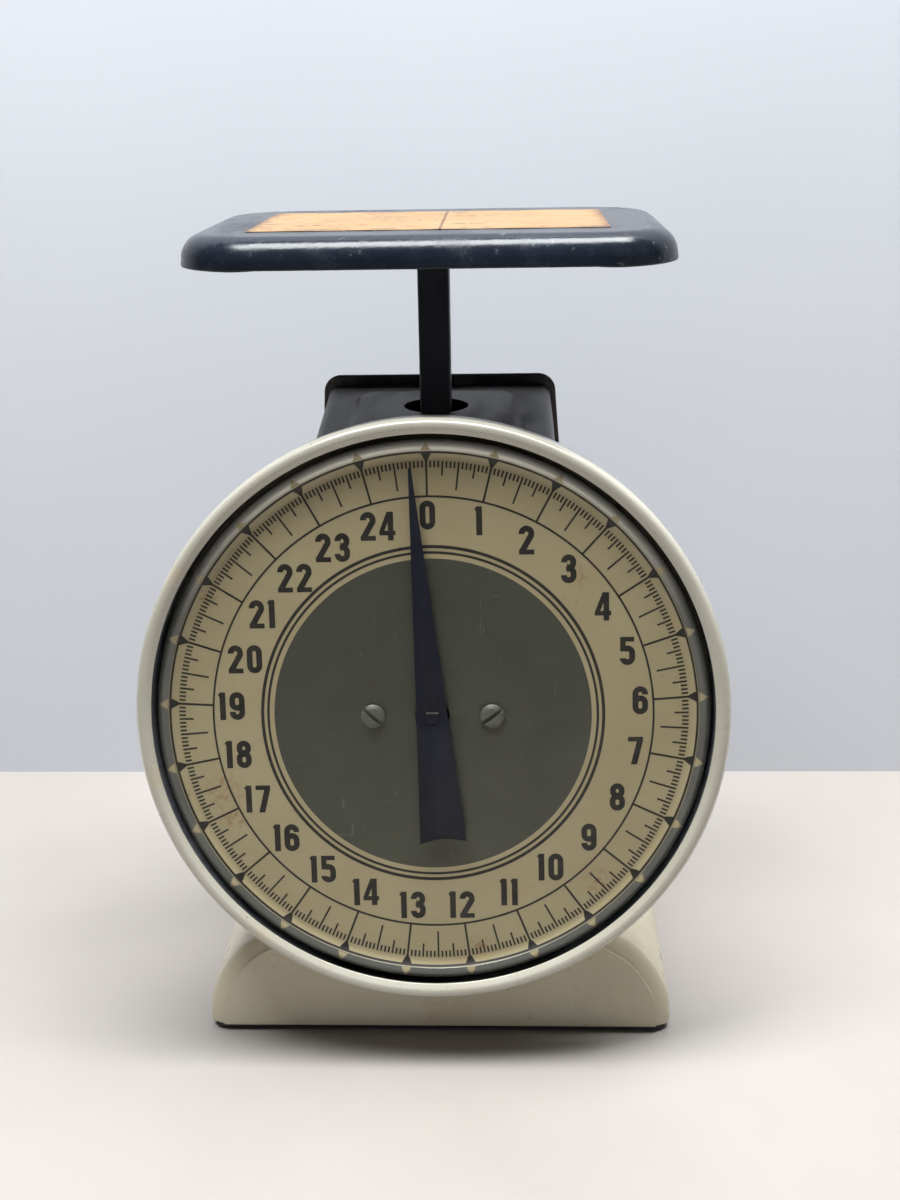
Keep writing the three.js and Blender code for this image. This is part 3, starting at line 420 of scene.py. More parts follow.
def clear_glass():
    look = Look("lens_glass", colour=(1, 1, 1), roughness=0.02)
    clear = look.nodes.new("ShaderNodeBsdfTransparent")
    gloss = look.nodes.new("ShaderNodeBsdfGlossy")
    gloss.inputs["Roughness"].default_value = 0.03
    smear = look.ramp(look.noise(30, 4), 0.45, 0.75, 0.0, 0.012)
    edge = look.nodes.new("ShaderNodeLayerWeight")
    edge.inputs["Blend"].default_value = 0.5
    grazing = look.times(look.calculate("POWER", edge.outputs["Facing"], 5.0), 0.4)
    look.layered(look.plus(grazing, smear), clear, gloss)
    return look.material


CREAM = cream_enamel("cream_enamel", (0.60, 0.55, 0.41), (0.54, 0.485, 0.345), 0.25)
BEZEL_CREAM = cream_enamel("bezel_enamel", (0.46, 0.44, 0.365), (0.41, 0.388, 0.31), 1.0)
BLACK_TRAY = black_enamel("black_tray", (0.006, 0.009, 0.015), (0.034, 0.039, 0.049), 0.6, 0.20, 0.25, 0.32)
BLACK_COVER = black_enamel("black_cover", (0.016, 0.013, 0.014), (0.105, 0.100, 0.108), 0.4, 0.38, 0.55, 0.42)
BLACK_POST = black_enamel("black_post", (0.009, 0.011, 0.019), (0.032, 0.036, 0.050), 0.3, 0.40, 0.4, 0.4)
DIAL_CENTRE_METAL = dial_metal("dial_grey", (0.094, 0.097, 0.075), 0.36, 0.6, 0.25, 0.2)
# The dial's rim carries a painted highlight along its top
DIAL_RIM_METAL = dial_metal("dial_rim", (0.17, 0.17, 0.15), 0.30, 0.4, 0.05, painted_top_highlight=0.6)
DIAL_CREAM = dial_cream()
INK = printed_ink()
POINTER = pointer_paint()
STEEL = plain_metal("zinc_steel", (0.55, 0.55, 0.54), 0.34)
SCREW_STEEL = dial_metal("screw_steel", (0.115, 0.120, 0.095), 0.36, 0.3, 0.3)
WIRE = plain_metal("spring_wire", (0.42, 0.43, 0.44), 0.28)
BRASS = plain_metal("brass", (0.62, 0.45, 0.18), 0.3)
# Painted light and shade for the inside of the dial's rim
GAP_LIGHT_AND_SHADE = gap_paint()
RUBBER = matt_black("rubber", (0.018, 0.018, 0.018), 0.7)
PLASTIC = matt_black("wheel_plastic", (0.022, 0.021, 0.020), 0.42)
PAN_BLACK = matt_black("pan_black", (0.015, 0.014, 0.013), 0.5)
LABEL_FOLD = 3.4
PAPER = label_paper(LABEL_FOLD * MM)
GLASS = clear_glass()

# ---------------------------------------------------------------- mesh helpers


def add_object(name, data):
    obj = bpy.data.objects.new(name, data)
    bpy.context.scene.collection.objects.link(obj)
    return obj


def solid_mesh(name, verts, faces, weld=False, facing=None):
    """A mesh from vertices in millimetres, with its faces turned outward or towards a given side."""
    mesh = bpy.data.meshes.new(name)
    mesh.from_pydata([tuple(c * MM for c in v) for v in verts], [], faces)
    if weld:
        mesh.validate()
    work = bmesh.new()
    work.from_mesh(mesh)
    if weld:
        bmesh.ops.remove_doubles(work, verts=work.verts, dist=1e-7)
    bmesh.ops.recalc_face_normals(work, faces=work.faces)
    if facing is not None:
        largest = max(work.faces, key=lambda f: abs(f.normal.dot(Vector(facing))) * f.calc_area())
        if largest.normal.dot(Vector(facing)) < 0:
            bmesh.ops.reverse_faces(work, faces=work.faces)
    work.to_mesh(mesh)
    work.free()
    return mesh


def piece(name, shape, material, body, place=None, replaces=(), angle=38, facing=None):
    """A mesh object that rides on a body. Its shape is (verts, faces) in millimetres."""
    mesh = solid_mesh(name, *shape, weld=True, facing=facing)
    obj = add_object(name, mesh)
    for item in material if isinstance(material, list) else [material]:
        mesh.materials.append(item)
    if place is not None:
        obj.matrix_world = place
    dress(obj, angle)
    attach(obj, body)
    if replaces:
        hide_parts(*replaces)
    return obj


def dress(obj, angle=38):
    obj.data.shade_smooth()
    obj.data.set_sharp_from_angle(angle=math.radians(angle))


def bake(obj, angle=38):
    """Applies an object's modifiers to its mesh."""
    graph = bpy.context.evaluated_depsgraph_get()
    mesh = bpy.data.meshes.new_from_object(obj.evaluated_get(graph))
    obj.modifiers.clear()
    old = obj.data
    obj.data = mesh
    bpy.data.meshes.remove(old)
    dress(obj, angle)


def thicken(obj, thickness, angle=38):
    skin = obj.modifiers.new("sheet", "SOLIDIFY")
    skin.thickness = thickness * MM
    skin.offset = -1
    skin.use_even_offset = True
    bake(obj, angle)


def cut(obj, cutters, angle=38):
    """Cuts closed meshes, given as (verts, faces, place) in millimetres, out of an object."""
    helpers = []
    for verts, faces, place in cutters:
        helper = add_object("cutter", solid_mesh("cutter", verts, faces))
        if place is not None:
            helper.matrix_world = place
        helpers.append(helper)
        change = obj.modifiers.new("cut", "BOOLEAN")
        change.operation = "DIFFERENCE"
        change.solver = "EXACT"
        change.object = helper
    bpy.context.view_layer.update()
    bake(obj, angle)
    for helper in helpers:
        mesh = helper.data
        bpy.data.objects.remove(helper)
        bpy.data.meshes.remove(mesh)


def band(lower, upper, count):
    """Faces between two closed loops of vertices, given by the index of each loop's first vertex."""
    faces = []
    for index in range(count):
        after = (index + 1) % count
        faces.append([lower + index, lower + after, upper + after, upper + index])
    return faces


def grid_faces(rows, width, start=0):
    """Faces of a sheet of vertices stored row by row."""
    faces = []
    for row in range(rows - 1):
        for step in range(width - 1):
            a = start + row * width + step
            faces.append([a, a + 1, a + 1 + width, a + width])
    return faces


def revolve(profile, steps=192, closed=True):
    verts, faces, rings = [], [], []
    for radius, height in profile:
        if radius < 1e-6:
            rings.append([len(verts)] * steps)
            verts.append((0.0, 0.0, height))
            continue
        start = len(verts)
        for index in range(steps):
            turn = TAU * index / steps
            verts.append((radius * math.cos(turn), radius * math.sin(turn), height))
        rings.append(list(range(start, start + steps)))
    pairs = list(zip(rings, rings[1:]))
    if closed:
        pairs.append((rings[-1], rings[0]))
    for lower, upper in pairs:
        for index in range(steps):
            after = (index + 1) % steps
            corners = [lower[index], lower[after], upper[after], upper[index]]
            corners = list(dict.fromkeys(corners))
            if len(corners) > 2:
                faces.append(corners)
    return verts, faces


def rounded(points, radii, steps=6):
    """Fillets the corners of a closed polygon."""
    result = []
    count = len(points)
    for index, (point, radius) in enumerate(zip(points, radii)):
        corner = Vector(point)
        if radius <= 0:
            result.append(tuple(corner))
            continue
        back = Vector(points[index - 1]) - corner
        ahead = Vector(points[(index + 1) % count]) - corner
        half = back.angle(ahead) / 2
        reach = min(radius / math.tan(half), back.length * 0.48, ahead.length * 0.48)
        size = reach * math.tan(half)
        middle = corner + (back.normalized() + ahead.normalized()).normalized() * (size / math.sin(half))
        first = corner + back.normalized() * reach - middle
        last = corner + ahead.normalized() * reach - middle
        begin = math.atan2(first.y, first.x)
        sweep = (math.atan2(last.y, last.x) - begin + math.pi) % TAU - math.pi
        for step in range(steps + 1):
            turn = begin + sweep * step / steps
            result.append((middle.x + size * math.cos(turn), middle.y + size * math.sin(turn)))
    return result


def rounded_rectangle(width, depth, radius, steps=8, centre=(0.0, 0.0)):
    corners = [
        (width / 2 + centre[0], depth / 2 + centre[1]),
        (-width / 2 + centre[0], depth / 2 + centre[1]),
        (-width / 2 + centre[0], -depth / 2 + centre[1]),
        (width / 2 + centre[0], -depth / 2 + centre[1]),
    ]
    return rounded(corners, [radius] * 4, steps)


def circle(radius, steps=32, centre=(0.0, 0.0), stretch=1.0):
    turns = [TAU * step / steps for step in range(steps)]
    return [
        (centre[0] + radius * math.cos(turn), centre[1] + stretch * radius * math.sin(turn))
        for turn in turns
    ]


def inset(outline, distance):
    """Moves every edge of an anticlockwise outline inward."""
    count = len(outline)
    result = []
    for index in range(count):
        here = Vector(outline[index])
        before = (here - Vector(outline[index - 1])).normalized()
        after = (Vector(outline[(index + 1) % count]) - here).normalized()
        first = Vector((-before.y, before.x))
        second = Vector((-after.y, after.x))
        middle = (first + second).normalized()
        result.append(tuple(here + middle * (distance / max(middle.dot(first), 0.3))))
    return result


def plate(outer, holes, low, high, edge=0.25, steps=3):
    """A flat closed plate with rounded edges. The outer loop is anticlockwise and holes are clockwise."""
    rows = []
    for step in range(steps + 1):
        turn = math.pi / 2 * step / steps
        rows.append((edge * (1 - math.sin(turn)), low + edge * (1 - math.cos(turn))))
    rows += [(distance, low + high - height) for distance, height in reversed(rows)]
    verts, faces = [], []
    bottom, top = [], []
    for loop in [outer] + holes:
        starts = []
        for distance, height in rows:
            starts.append(len(verts))
            ring = inset(loop, distance) if distance > 1e-9 else loop
            verts += [(x, y, height) for x, y in ring]
        count = len(loop)
        for lower, upper in zip(starts, starts[1:]):
            faces += band(lower, upper, count)
        bottom.append([starts[0] + i for i in range(count)])
        top.append([starts[-1] + i for i in range(count)])
    for loops in (bottom, top):
        flat = [index for loop in loops for index in loop]
        shapes = [[Vector(verts[index]) for index in loop] for loop in loops]
        for triangle in tessellate_polygon(shapes):
            faces.append([flat[corner] for corner in triangle])
    return verts, faces


def stretched_plate(outline, low, high):
    """A prism with sharp edges."""
    count = len(outline)
    verts = [(x, y, z) for z in (low, high) for x, y in outline]
    faces = band(0, count, count)
    faces.append(list(range(count)))
    faces.append(list(range(count, 2 * count)))
    return verts, faces


def box_mesh(low, high):
    outline = [(low[0], low[1]), (high[0], low[1]), (high[0], high[1]), (low[0], high[1])]
    return stretched_plate(outline, low[2], high[2])


def joined(parts):
    verts, faces = [], []
    for more_verts, more_faces in parts:
        start = len(verts)
        verts += more_verts
        faces += [[start + index for index in face] for face in more_faces]
    return verts, faces


def spline(points, steps):
    """Catmull-Rom points through a list, with its ends kept."""
    result = []
    for index in range(len(points) - 1):
        p0 = Vector(points[max(index - 1, 0)])
        p1, p2 = Vector(points[index]), Vector(points[index + 1])
        p3 = Vector(points[min(index + 2, len(points) - 1)])
        for step in range(steps):
            t = step / steps
            value = (
                2 * p1
                + (p2 - p0) * t
                + (2 * p0 - 5 * p1 + 4 * p2 - p3) * t * t
                + (3 * p1 - p0 - 3 * p2 + p3) * t * t * t
            ) / 2
            result.append(tuple(value))
    result.append(tuple(points[-1]))
    return result


# ---------------------------------------------------------------- body and covers

BODY_SIDE = [
    (71.1, BODY_LOW_Z), (71.1, 7.0), (70.4, 11.5), (69.0, 15.0), (67.2, 18.2), (65.1, 21.2), (62.4, 24.4),
    (59.2, 27.2), (55.4, 29.6), (52.0, 31.6), (49.4, 34.4), (47.8, 38.5), (46.8, 45.0), (45.8, 56.0),
]
BODY_CUT_Z = 184.0
FAN_Z = 150.0
COLUMN_FOOT_Z = 56.0
COLUMN_FOOT_HALF = 45.8
COLUMN_FLARE = (COLUMN_FOOT_HALF - 31.5) / 144.0


def column_half_width(height):
    return COLUMN_FOOT_HALF - (height - COLUMN_FOOT_Z) * COLUMN_FLARE


def body_outline():
    side = spline(BODY_SIDE, 3)
    steps = 26
    for step in range(1, steps + 1):
        height = COLUMN_FOOT_Z + (BODY_CUT_Z - COLUMN_FOOT_Z) * step / steps
        side.append((column_half_width(height), height))
    return side


def fan_top(x, y, z):
    """Brings the upper rows down to the sloping top edge, along the leaning faces."""
    if z <= FAN_Z:
        return x, y, z
    limit = COVER_Z - 3.5 + y * math.tan(REAR_SLOPE)
    drop = (z - FAN_Z) * (BODY_CUT_Z - limit) / (BODY_CUT_Z - FAN_Z)
    fore, back = front_y(z), rear_y(z)
    share = min(max((y - fore) / (back - fore), 0.0), 1.0)
    y += drop * (share * math.tan(REAR_SLOPE) - (1 - share) * math.tan(DIAL_TILT))
    x += drop * COLUMN_FLARE * x / column_half_width(z)
    return x, y, z - drop


def dial_screw_holes(low, high):
    """Cutters for the holes of the two dial screws, between two heights along the dial's axis."""
    outlines = [circle(DIAL_SCREW_HOLE, 24, (x, 0)) for x in (-DIAL_SCREW_X, DIAL_SCREW_X)]
    return [(*stretched_plate(outline, low, high), DIAL_PLACE) for outline in outlines]


def body_panel():
    """The cream body: a flat front with a rounded rim, two flared sides and narrow rear flanges."""
    side = body_outline()
    normals = []
    for index in range(len(side)):
        before = Vector(side[max(index - 1, 0)])
        after = Vector(side[min(index + 1, len(side) - 1)])
        along = (after - before).normalized()
        normals.append(Vector((-along.y, along.x)))
    normals[0] = Vector((-1, 0))
    rim = []
    start = math.radians(24)
    steps = 8
    for step in range(steps + 1):
        turn = start + (math.pi / 2 - start) * step / steps
        share = (math.sin(turn) - math.sin(start)) / (1 - math.sin(start))
        rim.append((4.3 * (1 - share), 0.3 + 4.0 * (1 - math.cos(turn))))
    columns = []
    for (x, z), normal in zip(side, normals):
        column = []

        def at(distance, depth):
            point_x, point_z = x + normal.x * distance, z + normal.y * distance
            point_z = min(max(point_z, BODY_LOW_Z), BODY_CUT_Z)
            column.append((point_x, front_y(point_z) + depth, point_z))

        at(4.75, 0.0)
        at(4.45, 0.05)
        for distance, depth in rim:
            at(distance, depth)
        fore = column[-1][1]
        back = rear_y(z)
        for share in (0.1, 0.25, 0.5, 0.75, 0.93):
            column.append((x, fore + (back - 1.0 - fore) * share, z))
        column.append((x, back - 0.8, z))
        column.append((x - 0.25, back - 0.2, z))
        column.append((x - 0.9, back, z))
        inner_x = max(x - 9.0, 20.0)
        column.append((inner_x, back, z))
        columns.append(column)
    verts, faces = [], []
    width = len(columns[0])
    for sign in (1, -1):
        start_index = len(verts)
        for column in columns:
            verts += [fan_top(sign * x, y, z) for x, y, z in column]
        faces += grid_faces(len(columns), width, start_index)
    left_start = len(columns) * width
    for row in range(len(columns) - 1):
        a, b = row * width, left_start + row * width
        faces.append([a, a + width, b + width, b])
    obj = piece(
        "body_panel", (verts, faces), CREAM, "case", POST_PLACE, replaces=["body_shell"],
        facing=(0, -1, 0), angle=30,
    )
    thicken(obj, SHEET, 30)
    shaft_hole = (*stretched_plate(circle(6.0, 40), -22, -8), DIAL_PLACE)
    cut(obj, [shaft_hole] + dial_screw_holes(-22, -8), 30)


def smooth_step(value, low, high):
    share = min(max((value - low) / (high - low), 0.0), 1.0)
    return share * share * (3 - 2 * share)


def cover_emboss(x, y):
    """Height of the raised panel on the top cover."""
    half_width, rear, radius = 25.0, 15.0, 7.0
    past_x = abs(x) - half_width + radius
    past_y = y - rear + radius
    outside = math.hypot(max(past_x, 0), max(past_y, 0)) + min(max(past_x, past_y), 0) - radius
    swell = 1.5 * smooth_step(-outside, -0.7, 1.1)
    trough = -0.35 * math.exp(-(((outside - 1.6) / 1.1) ** 2))
    return swell + trough


def cover_front(height):
    """Where the top cover ends in front, in its own sloping frame."""
    slope_sin, slope_cos = math.sin(REAR_SLOPE), math.cos(REAR_SLOPE)
    lean = math.tan(DIAL_TILT)
    level = front_y(COVER_Z) + lean * height * slope_cos + height * slope_sin
    return level / (slope_cos - lean * slope_sin)


def top_cover():
    half, skirt, bend = 35.4, 15.0, 3.2
    foot = half + 1.7
    corners = [(-half - 0.9, -10.0), (-half, 0.0), (half, 0.0), (half + 0.9, -10.0)]
    edge = rounded(corners, [0, bend, bend, 0], 8)
    section = [(-foot, -skirt), (-foot + 0.4, -skirt + 4)] + edge[1:10]
    steps = 70
    for step in range(1, steps):
        section.append((-half + bend + 2 * (half - bend) * step / steps, 0.0))
    section += edge[10:19] + [(foot - 0.4, -skirt + 4), (foot, -skirt)]
    rear = (REAR_PLACE.inverted() @ TOP_PLACE.translation).z / -MM - 0.5
    verts = []
    rows = 64
    for row in range(rows + 1):
        for x, z in section:
            y = cover_front(z) + (rear - cover_front(z)) * row / rows
            if z > -0.01:
                z += cover_emboss(x, y) + 0.10 * math.sin(x * 0.21 + 1.3) * math.sin(y * 0.17)
            verts.append((x, y, z))
    faces = grid_faces(rows + 1, len(section))
    obj = piece(
        "top_cover_sheet", (verts, faces), BLACK_COVER, "case", TOP_PLACE, ["top_cover"],
        facing=(0, 0, 1),
    )
    thicken(obj, SHEET)
    cut(obj, [(*stretched_plate(circle(10.0, 64, stretch=0.65), 165, 200), POST_PLACE)])
    add_edge(obj, 0.25, 50)


REAR_SCREWS = [(-63.5, 8.0), (63.5, 8.0), (-31.4, 150.0), (31.4, 150.0)]


def rear_cover():
    side = [
        (68.6, 1.0), (68.6, 8.0), (67.4, 14.0), (65.0, 19.0), (60.6, 24.6), (56.2, 28.2), (52.6, 31.4),
        (50.2, 36.0), (48.6, 46.0), (46.5, 68.0), (41.6, 130.0), (37.9, 178.0),
    ]
    right = spline(side, 3)
    lip = rounded([(37.9, 178.0), (37.1, 189.0), (-37.1, 189.0), (-37.9, 178.0)], [0, 7.0, 7.0, 0], 10)
    right += lip[1:12]
    outline = right + [(-x, z) for x, z in reversed(right)]
    lift = 1 / math.cos(REAR_SLOPE)
    flat = [(x, -(z - BODY_LOW_Z) * lift) for x, z in outline]
    flat.reverse()
    gap = 0.3
    slot_width, slot_height, slot_up = 30, 11, 155
    slot_outline = rounded_rectangle(slot_width, slot_height, 2.5, 5, (0, -slot_up))
    slot_outline.reverse()
    holes = [slot_outline]
    for x, up in REAR_SCREWS:
        hole = circle(1.9, 20, (x, -up))
        hole.reverse()
        holes.append(hole)
    piece(
        "rear_cover_sheet", plate(flat, holes, gap, gap + SHEET, 0.45, 3), BLACK_COVER, "case",
        REAR_PLACE, ["rear_cover"],
    )


def add_edge(obj, width, angle):
    """Rounds the sharp edges of a finished mesh."""
    edge = obj.modifiers.new("edge", "BEVEL")
    edge.width = width * MM
    edge.segments = 2
    edge.limit_method = "ANGLE"
    edge.angle_limit = math.radians(angle)


def slotted_screw(name, place, size, slot_turn, node, material):
    """A screw of the case. Its size is head radius, head height, shank radius and length."""
    head_radius, head_height, shank_radius, length = size
    start, end = (shank_radius, 0), (0, head_height)
    points = [
        start, (head_radius, 0), (head_radius, head_height * 0.35),
        (head_radius * 0.68, head_height * 0.82), end,
    ]
    rim = rounded(points, [0, 0.12, 0.35, 0.8, 0], 5)[1:-1]
    profile = [(0, -length), (shank_radius, -length), start] + rim + [end]
    obj = piece(name, revolve(profile, 48, closed=False), material, "case", place, [node], angle=32)
    reach, half_slot = head_radius * 1.2, head_radius * 0.16
    groove = box_mesh((-reach, -half_slot, head_height * 0.2), (reach, half_slot, head_height * 2))
    cut(obj, [(*groove, place @ Matrix.Rotation(slot_turn, 4, "Z"))], 32)
    add_edge(obj, 0.07, 45)


# ---------------------------------------------------------------- dial assembly

BEAD_IN, BEAD_OUT, BEAD_HEIGHT = 76.3, 79.7, 1.9
CURL_START, CURL_RISE = 73.8, 1.15


def bead_height(radius):
    """Height of the dial plate's front: flat, then curling up into the raised edge."""
    middle, half = (BEAD_IN + BEAD_OUT) / 2, (BEAD_OUT - BEAD_IN) / 2
    bead = BEAD_HEIGHT * math.sqrt(max(0.0, 1 - ((radius - middle) / half) ** 2))
    along = (min(radius, BEAD_IN + 0.3) - CURL_START) / (BEAD_IN - CURL_START)
    curl = CURL_RISE * max(along, 0.0) ** 2 if radius < middle else 0.0
    return max(bead, curl)


def bezel():
    points = [
        (80.7, 4.25), (80.7, 4.75), (82.3, 5.9), (84.1, 5.9),
        (85.2, 4.0), (85.2, -9.2), (84.1, -9.2), (84.1, 4.25),
    ]
    piece(
        "bezel_ring", revolve(rounded(points, [0.12, 0.3, 1.6, 1.8, 2.2, 0.45, 0.3, 0.4], 7), 256),
        BEZEL_CREAM, "case", RING_PLACE, ["bezel"],
    )


def housing():
    points = [
        (6, -13.4), (72, -13.4), (79.6, -11.6), (83.75, -6), (83.75, 2.8), (82.5, 2.8),
        (81.0, -1.5), (81.0, -6.2), (77.6, -10.6), (71.8, -12.2), (6, -12.2),
    ]
    radii = [0, 3, 4, 3, 0.3, 0.2, 1.5, 2.5, 3, 3, 0]
    obj = piece(
        "housing_dish", revolve(rounded(points, radii, 5), 192), [CREAM, GAP_LIGHT_AND_SHADE], "case", RING_PLACE,
        ["dial_housing"],
    )
    # The inner wall of the rim gets the material with painted light and shade
    for face in obj.data.polygons:
        radius = math.hypot(face.center.x, face.center.y) / MM
        if 80.8 < radius < 82.6 and face.center.z > -7 * MM:
            face.material_index = 1
    cut(obj, dial_screw_holes(-22, -8))


def dial_face():
    profile = [(5.0, 0.0), (30.0, 0.0), (CURL_START, 0.0)]
    for step in range(1, 7):
        radius = CURL_START + (BEAD_IN - CURL_START) * step / 6
        profile.append((radius, bead_height(radius)))
    for step in range(1, 16):
        radius = BEAD_IN + (BEAD_OUT - BEAD_IN) * (1 - math.cos(math.pi * step / 16)) / 2
        profile.append((radius, bead_height(radius)))
    profile += [(BEAD_OUT, 0.0), (79.75, -0.5), (79.2, -0.6), (76.4, -0.6), (5.0, -0.6)]
    obj = piece(
        "dial_face", revolve(profile, 288), [DIAL_CENTRE_METAL, DIAL_RIM_METAL], "case", DIAL_PLACE,
        ["dial_plate"],
    )
    for face in obj.data.polygons:
        if math.hypot(face.center.x, face.center.y) > BEAD_IN * MM:
            face.material_index = 1
    cut(obj, dial_screw_holes(-3, 3))


def ring_mesh(inner, outer, low, high, steps=288):
    return revolve([(inner, low), (outer, low), (outer, high), (inner, high)], steps)


def draped_ring(inner, outer, low, high, rows):
    """A thin printed ring that follows the curl of the dial's edge."""
    radii = [inner + (outer - inner) * row / rows for row in range(rows + 1)]
    under = [(radius, bead_height(radius) + low) for radius in radii]
    over = [(radius, bead_height(radius) + high) for radius in reversed(radii)]
    return revolve(under + over, 288)


def draped_wedge(turn, start, end, start_half, end_half, low, high, rows=9):
    """A thin printed triangle that follows the curl and the bead of the dial's edge."""
    along = Vector((math.sin(turn), math.cos(turn)))
    across = Vector((along.y, -along.x))
    top, bottom = [], []
    for row in range(rows + 1):
        radius = start + (end - start) * row / rows
        half = start_half + (end_half - start_half) * row / rows
        height = bead_height(radius)
        for side in (-1, 1):
            spot = along * radius + across * (half * side)
            top.append((spot.x, spot.y, height + high))
            bottom.append((spot.x, spot.y, height + low))
    shift = len(top)
    faces = []
    for row in range(rows):
        a = 2 * row
        faces.append([a, a + 1, a + 3, a + 2])
        faces.append([shift + a, shift + a + 2, shift + a + 3, shift + a + 1])
        faces.append([a, a + 2, shift + a + 2, shift + a])
        faces.append([a + 1, shift + a + 1, shift + a + 3, a + 3])
    last = 2 * rows
    faces.append([0, shift, shift + 1, 1])
    faces.append([last, last + 1, shift + last + 1, shift + last])
    return top + bottom, faces


def spoke(turn, start, end, width, low, high):
    """A thin radial bar. The turn is clockwise from the top."""
    along = Vector((math.sin(turn), math.cos(turn)))
    across = Vector((along.y, -along.x))
    corners = [
        along * start - across * width / 2,
        along * start + across * width / 2,
        along * end + across * width / 2,
        along * end - across * width / 2,
    ]
    return stretched_plate([tuple(c) for c in corners], low, high)


CREAM_LOW, CREAM_HIGH, INK_HIGH = 0.004, 0.03, 0.055
# Where the ticks start and end, as shares of the printed circle's radius
HALF_POUND, QUARTER_POUND, ONE_OUNCE, TICK_END = 0.863, 0.914, 0.943, 0.968


def dial_cream_print():
    flat = ring_mesh(CREAM_START, CURL_START, CREAM_LOW, CREAM_HIGH)
    curled = draped_ring(CURL_START + 0.002, BEAD_IN + 0.1, CREAM_LOW, CREAM_HIGH, 6)
    piece("dial_cream_ring", joined([flat, curled]), DIAL_CREAM, "case", PRINT_PLACE)
    points = [
        draped_wedge(TAU * number / POUNDS, BEAD_IN + 0.12, BEAD_IN + 2.7, 1.6, 0.04, -0.03, 0.03)
        for number in range(POUNDS)
    ]
    piece("dial_cream_points", joined(points), DIAL_CREAM, "case", PRINT_PLACE)


def dial_lines():
    rings = [draped_ring(PRINT_RADIUS - 0.28, PRINT_RADIUS + 0.28, CREAM_HIGH, INK_HIGH, 2)]
    for radius, half in ((MIDDLE_CIRCLE, 0.29), (HEAVY_CIRCLE, 0.46), (FINE_CIRCLE, 0.36)):
        rings.append(ring_mesh(radius - half, radius + half, CREAM_HIGH, INK_HIGH))
    piece("dial_rings", joined(rings), INK, "case", PRINT_PLACE)
    ticks = []
    for ounce in range(OUNCES):
        turn = TAU * ounce / OUNCES
        if ounce % 16 == 0:
            ticks.append(spoke(turn, MIDDLE_CIRCLE, 0.969 * PRINT_RADIUS, 0.60, CREAM_HIGH, INK_HIGH))
            start, end = 0.966 * PRINT_RADIUS, PRINT_RADIUS - 0.1
            ticks.append(draped_wedge(turn, start, end, 0.25, 1.6, CREAM_HIGH, INK_HIGH + 0.004))
            continue
        inner = HALF_POUND if ounce % 8 == 0 else QUARTER_POUND if ounce % 4 == 0 else ONE_OUNCE
        ticks.append(spoke(turn, inner * PRINT_RADIUS, TICK_END * PRINT_RADIUS, 0.52, CREAM_HIGH, INK_HIGH))
    piece("dial_ticks", joined(ticks), INK, "case", PRINT_PLACE)


GLYPH_STEP = 0.07
GLYPH_REACH_X, GLYPH_REACH_Y = 2.7, 4.7
DIGIT_HALF_HEIGHT = 4.1


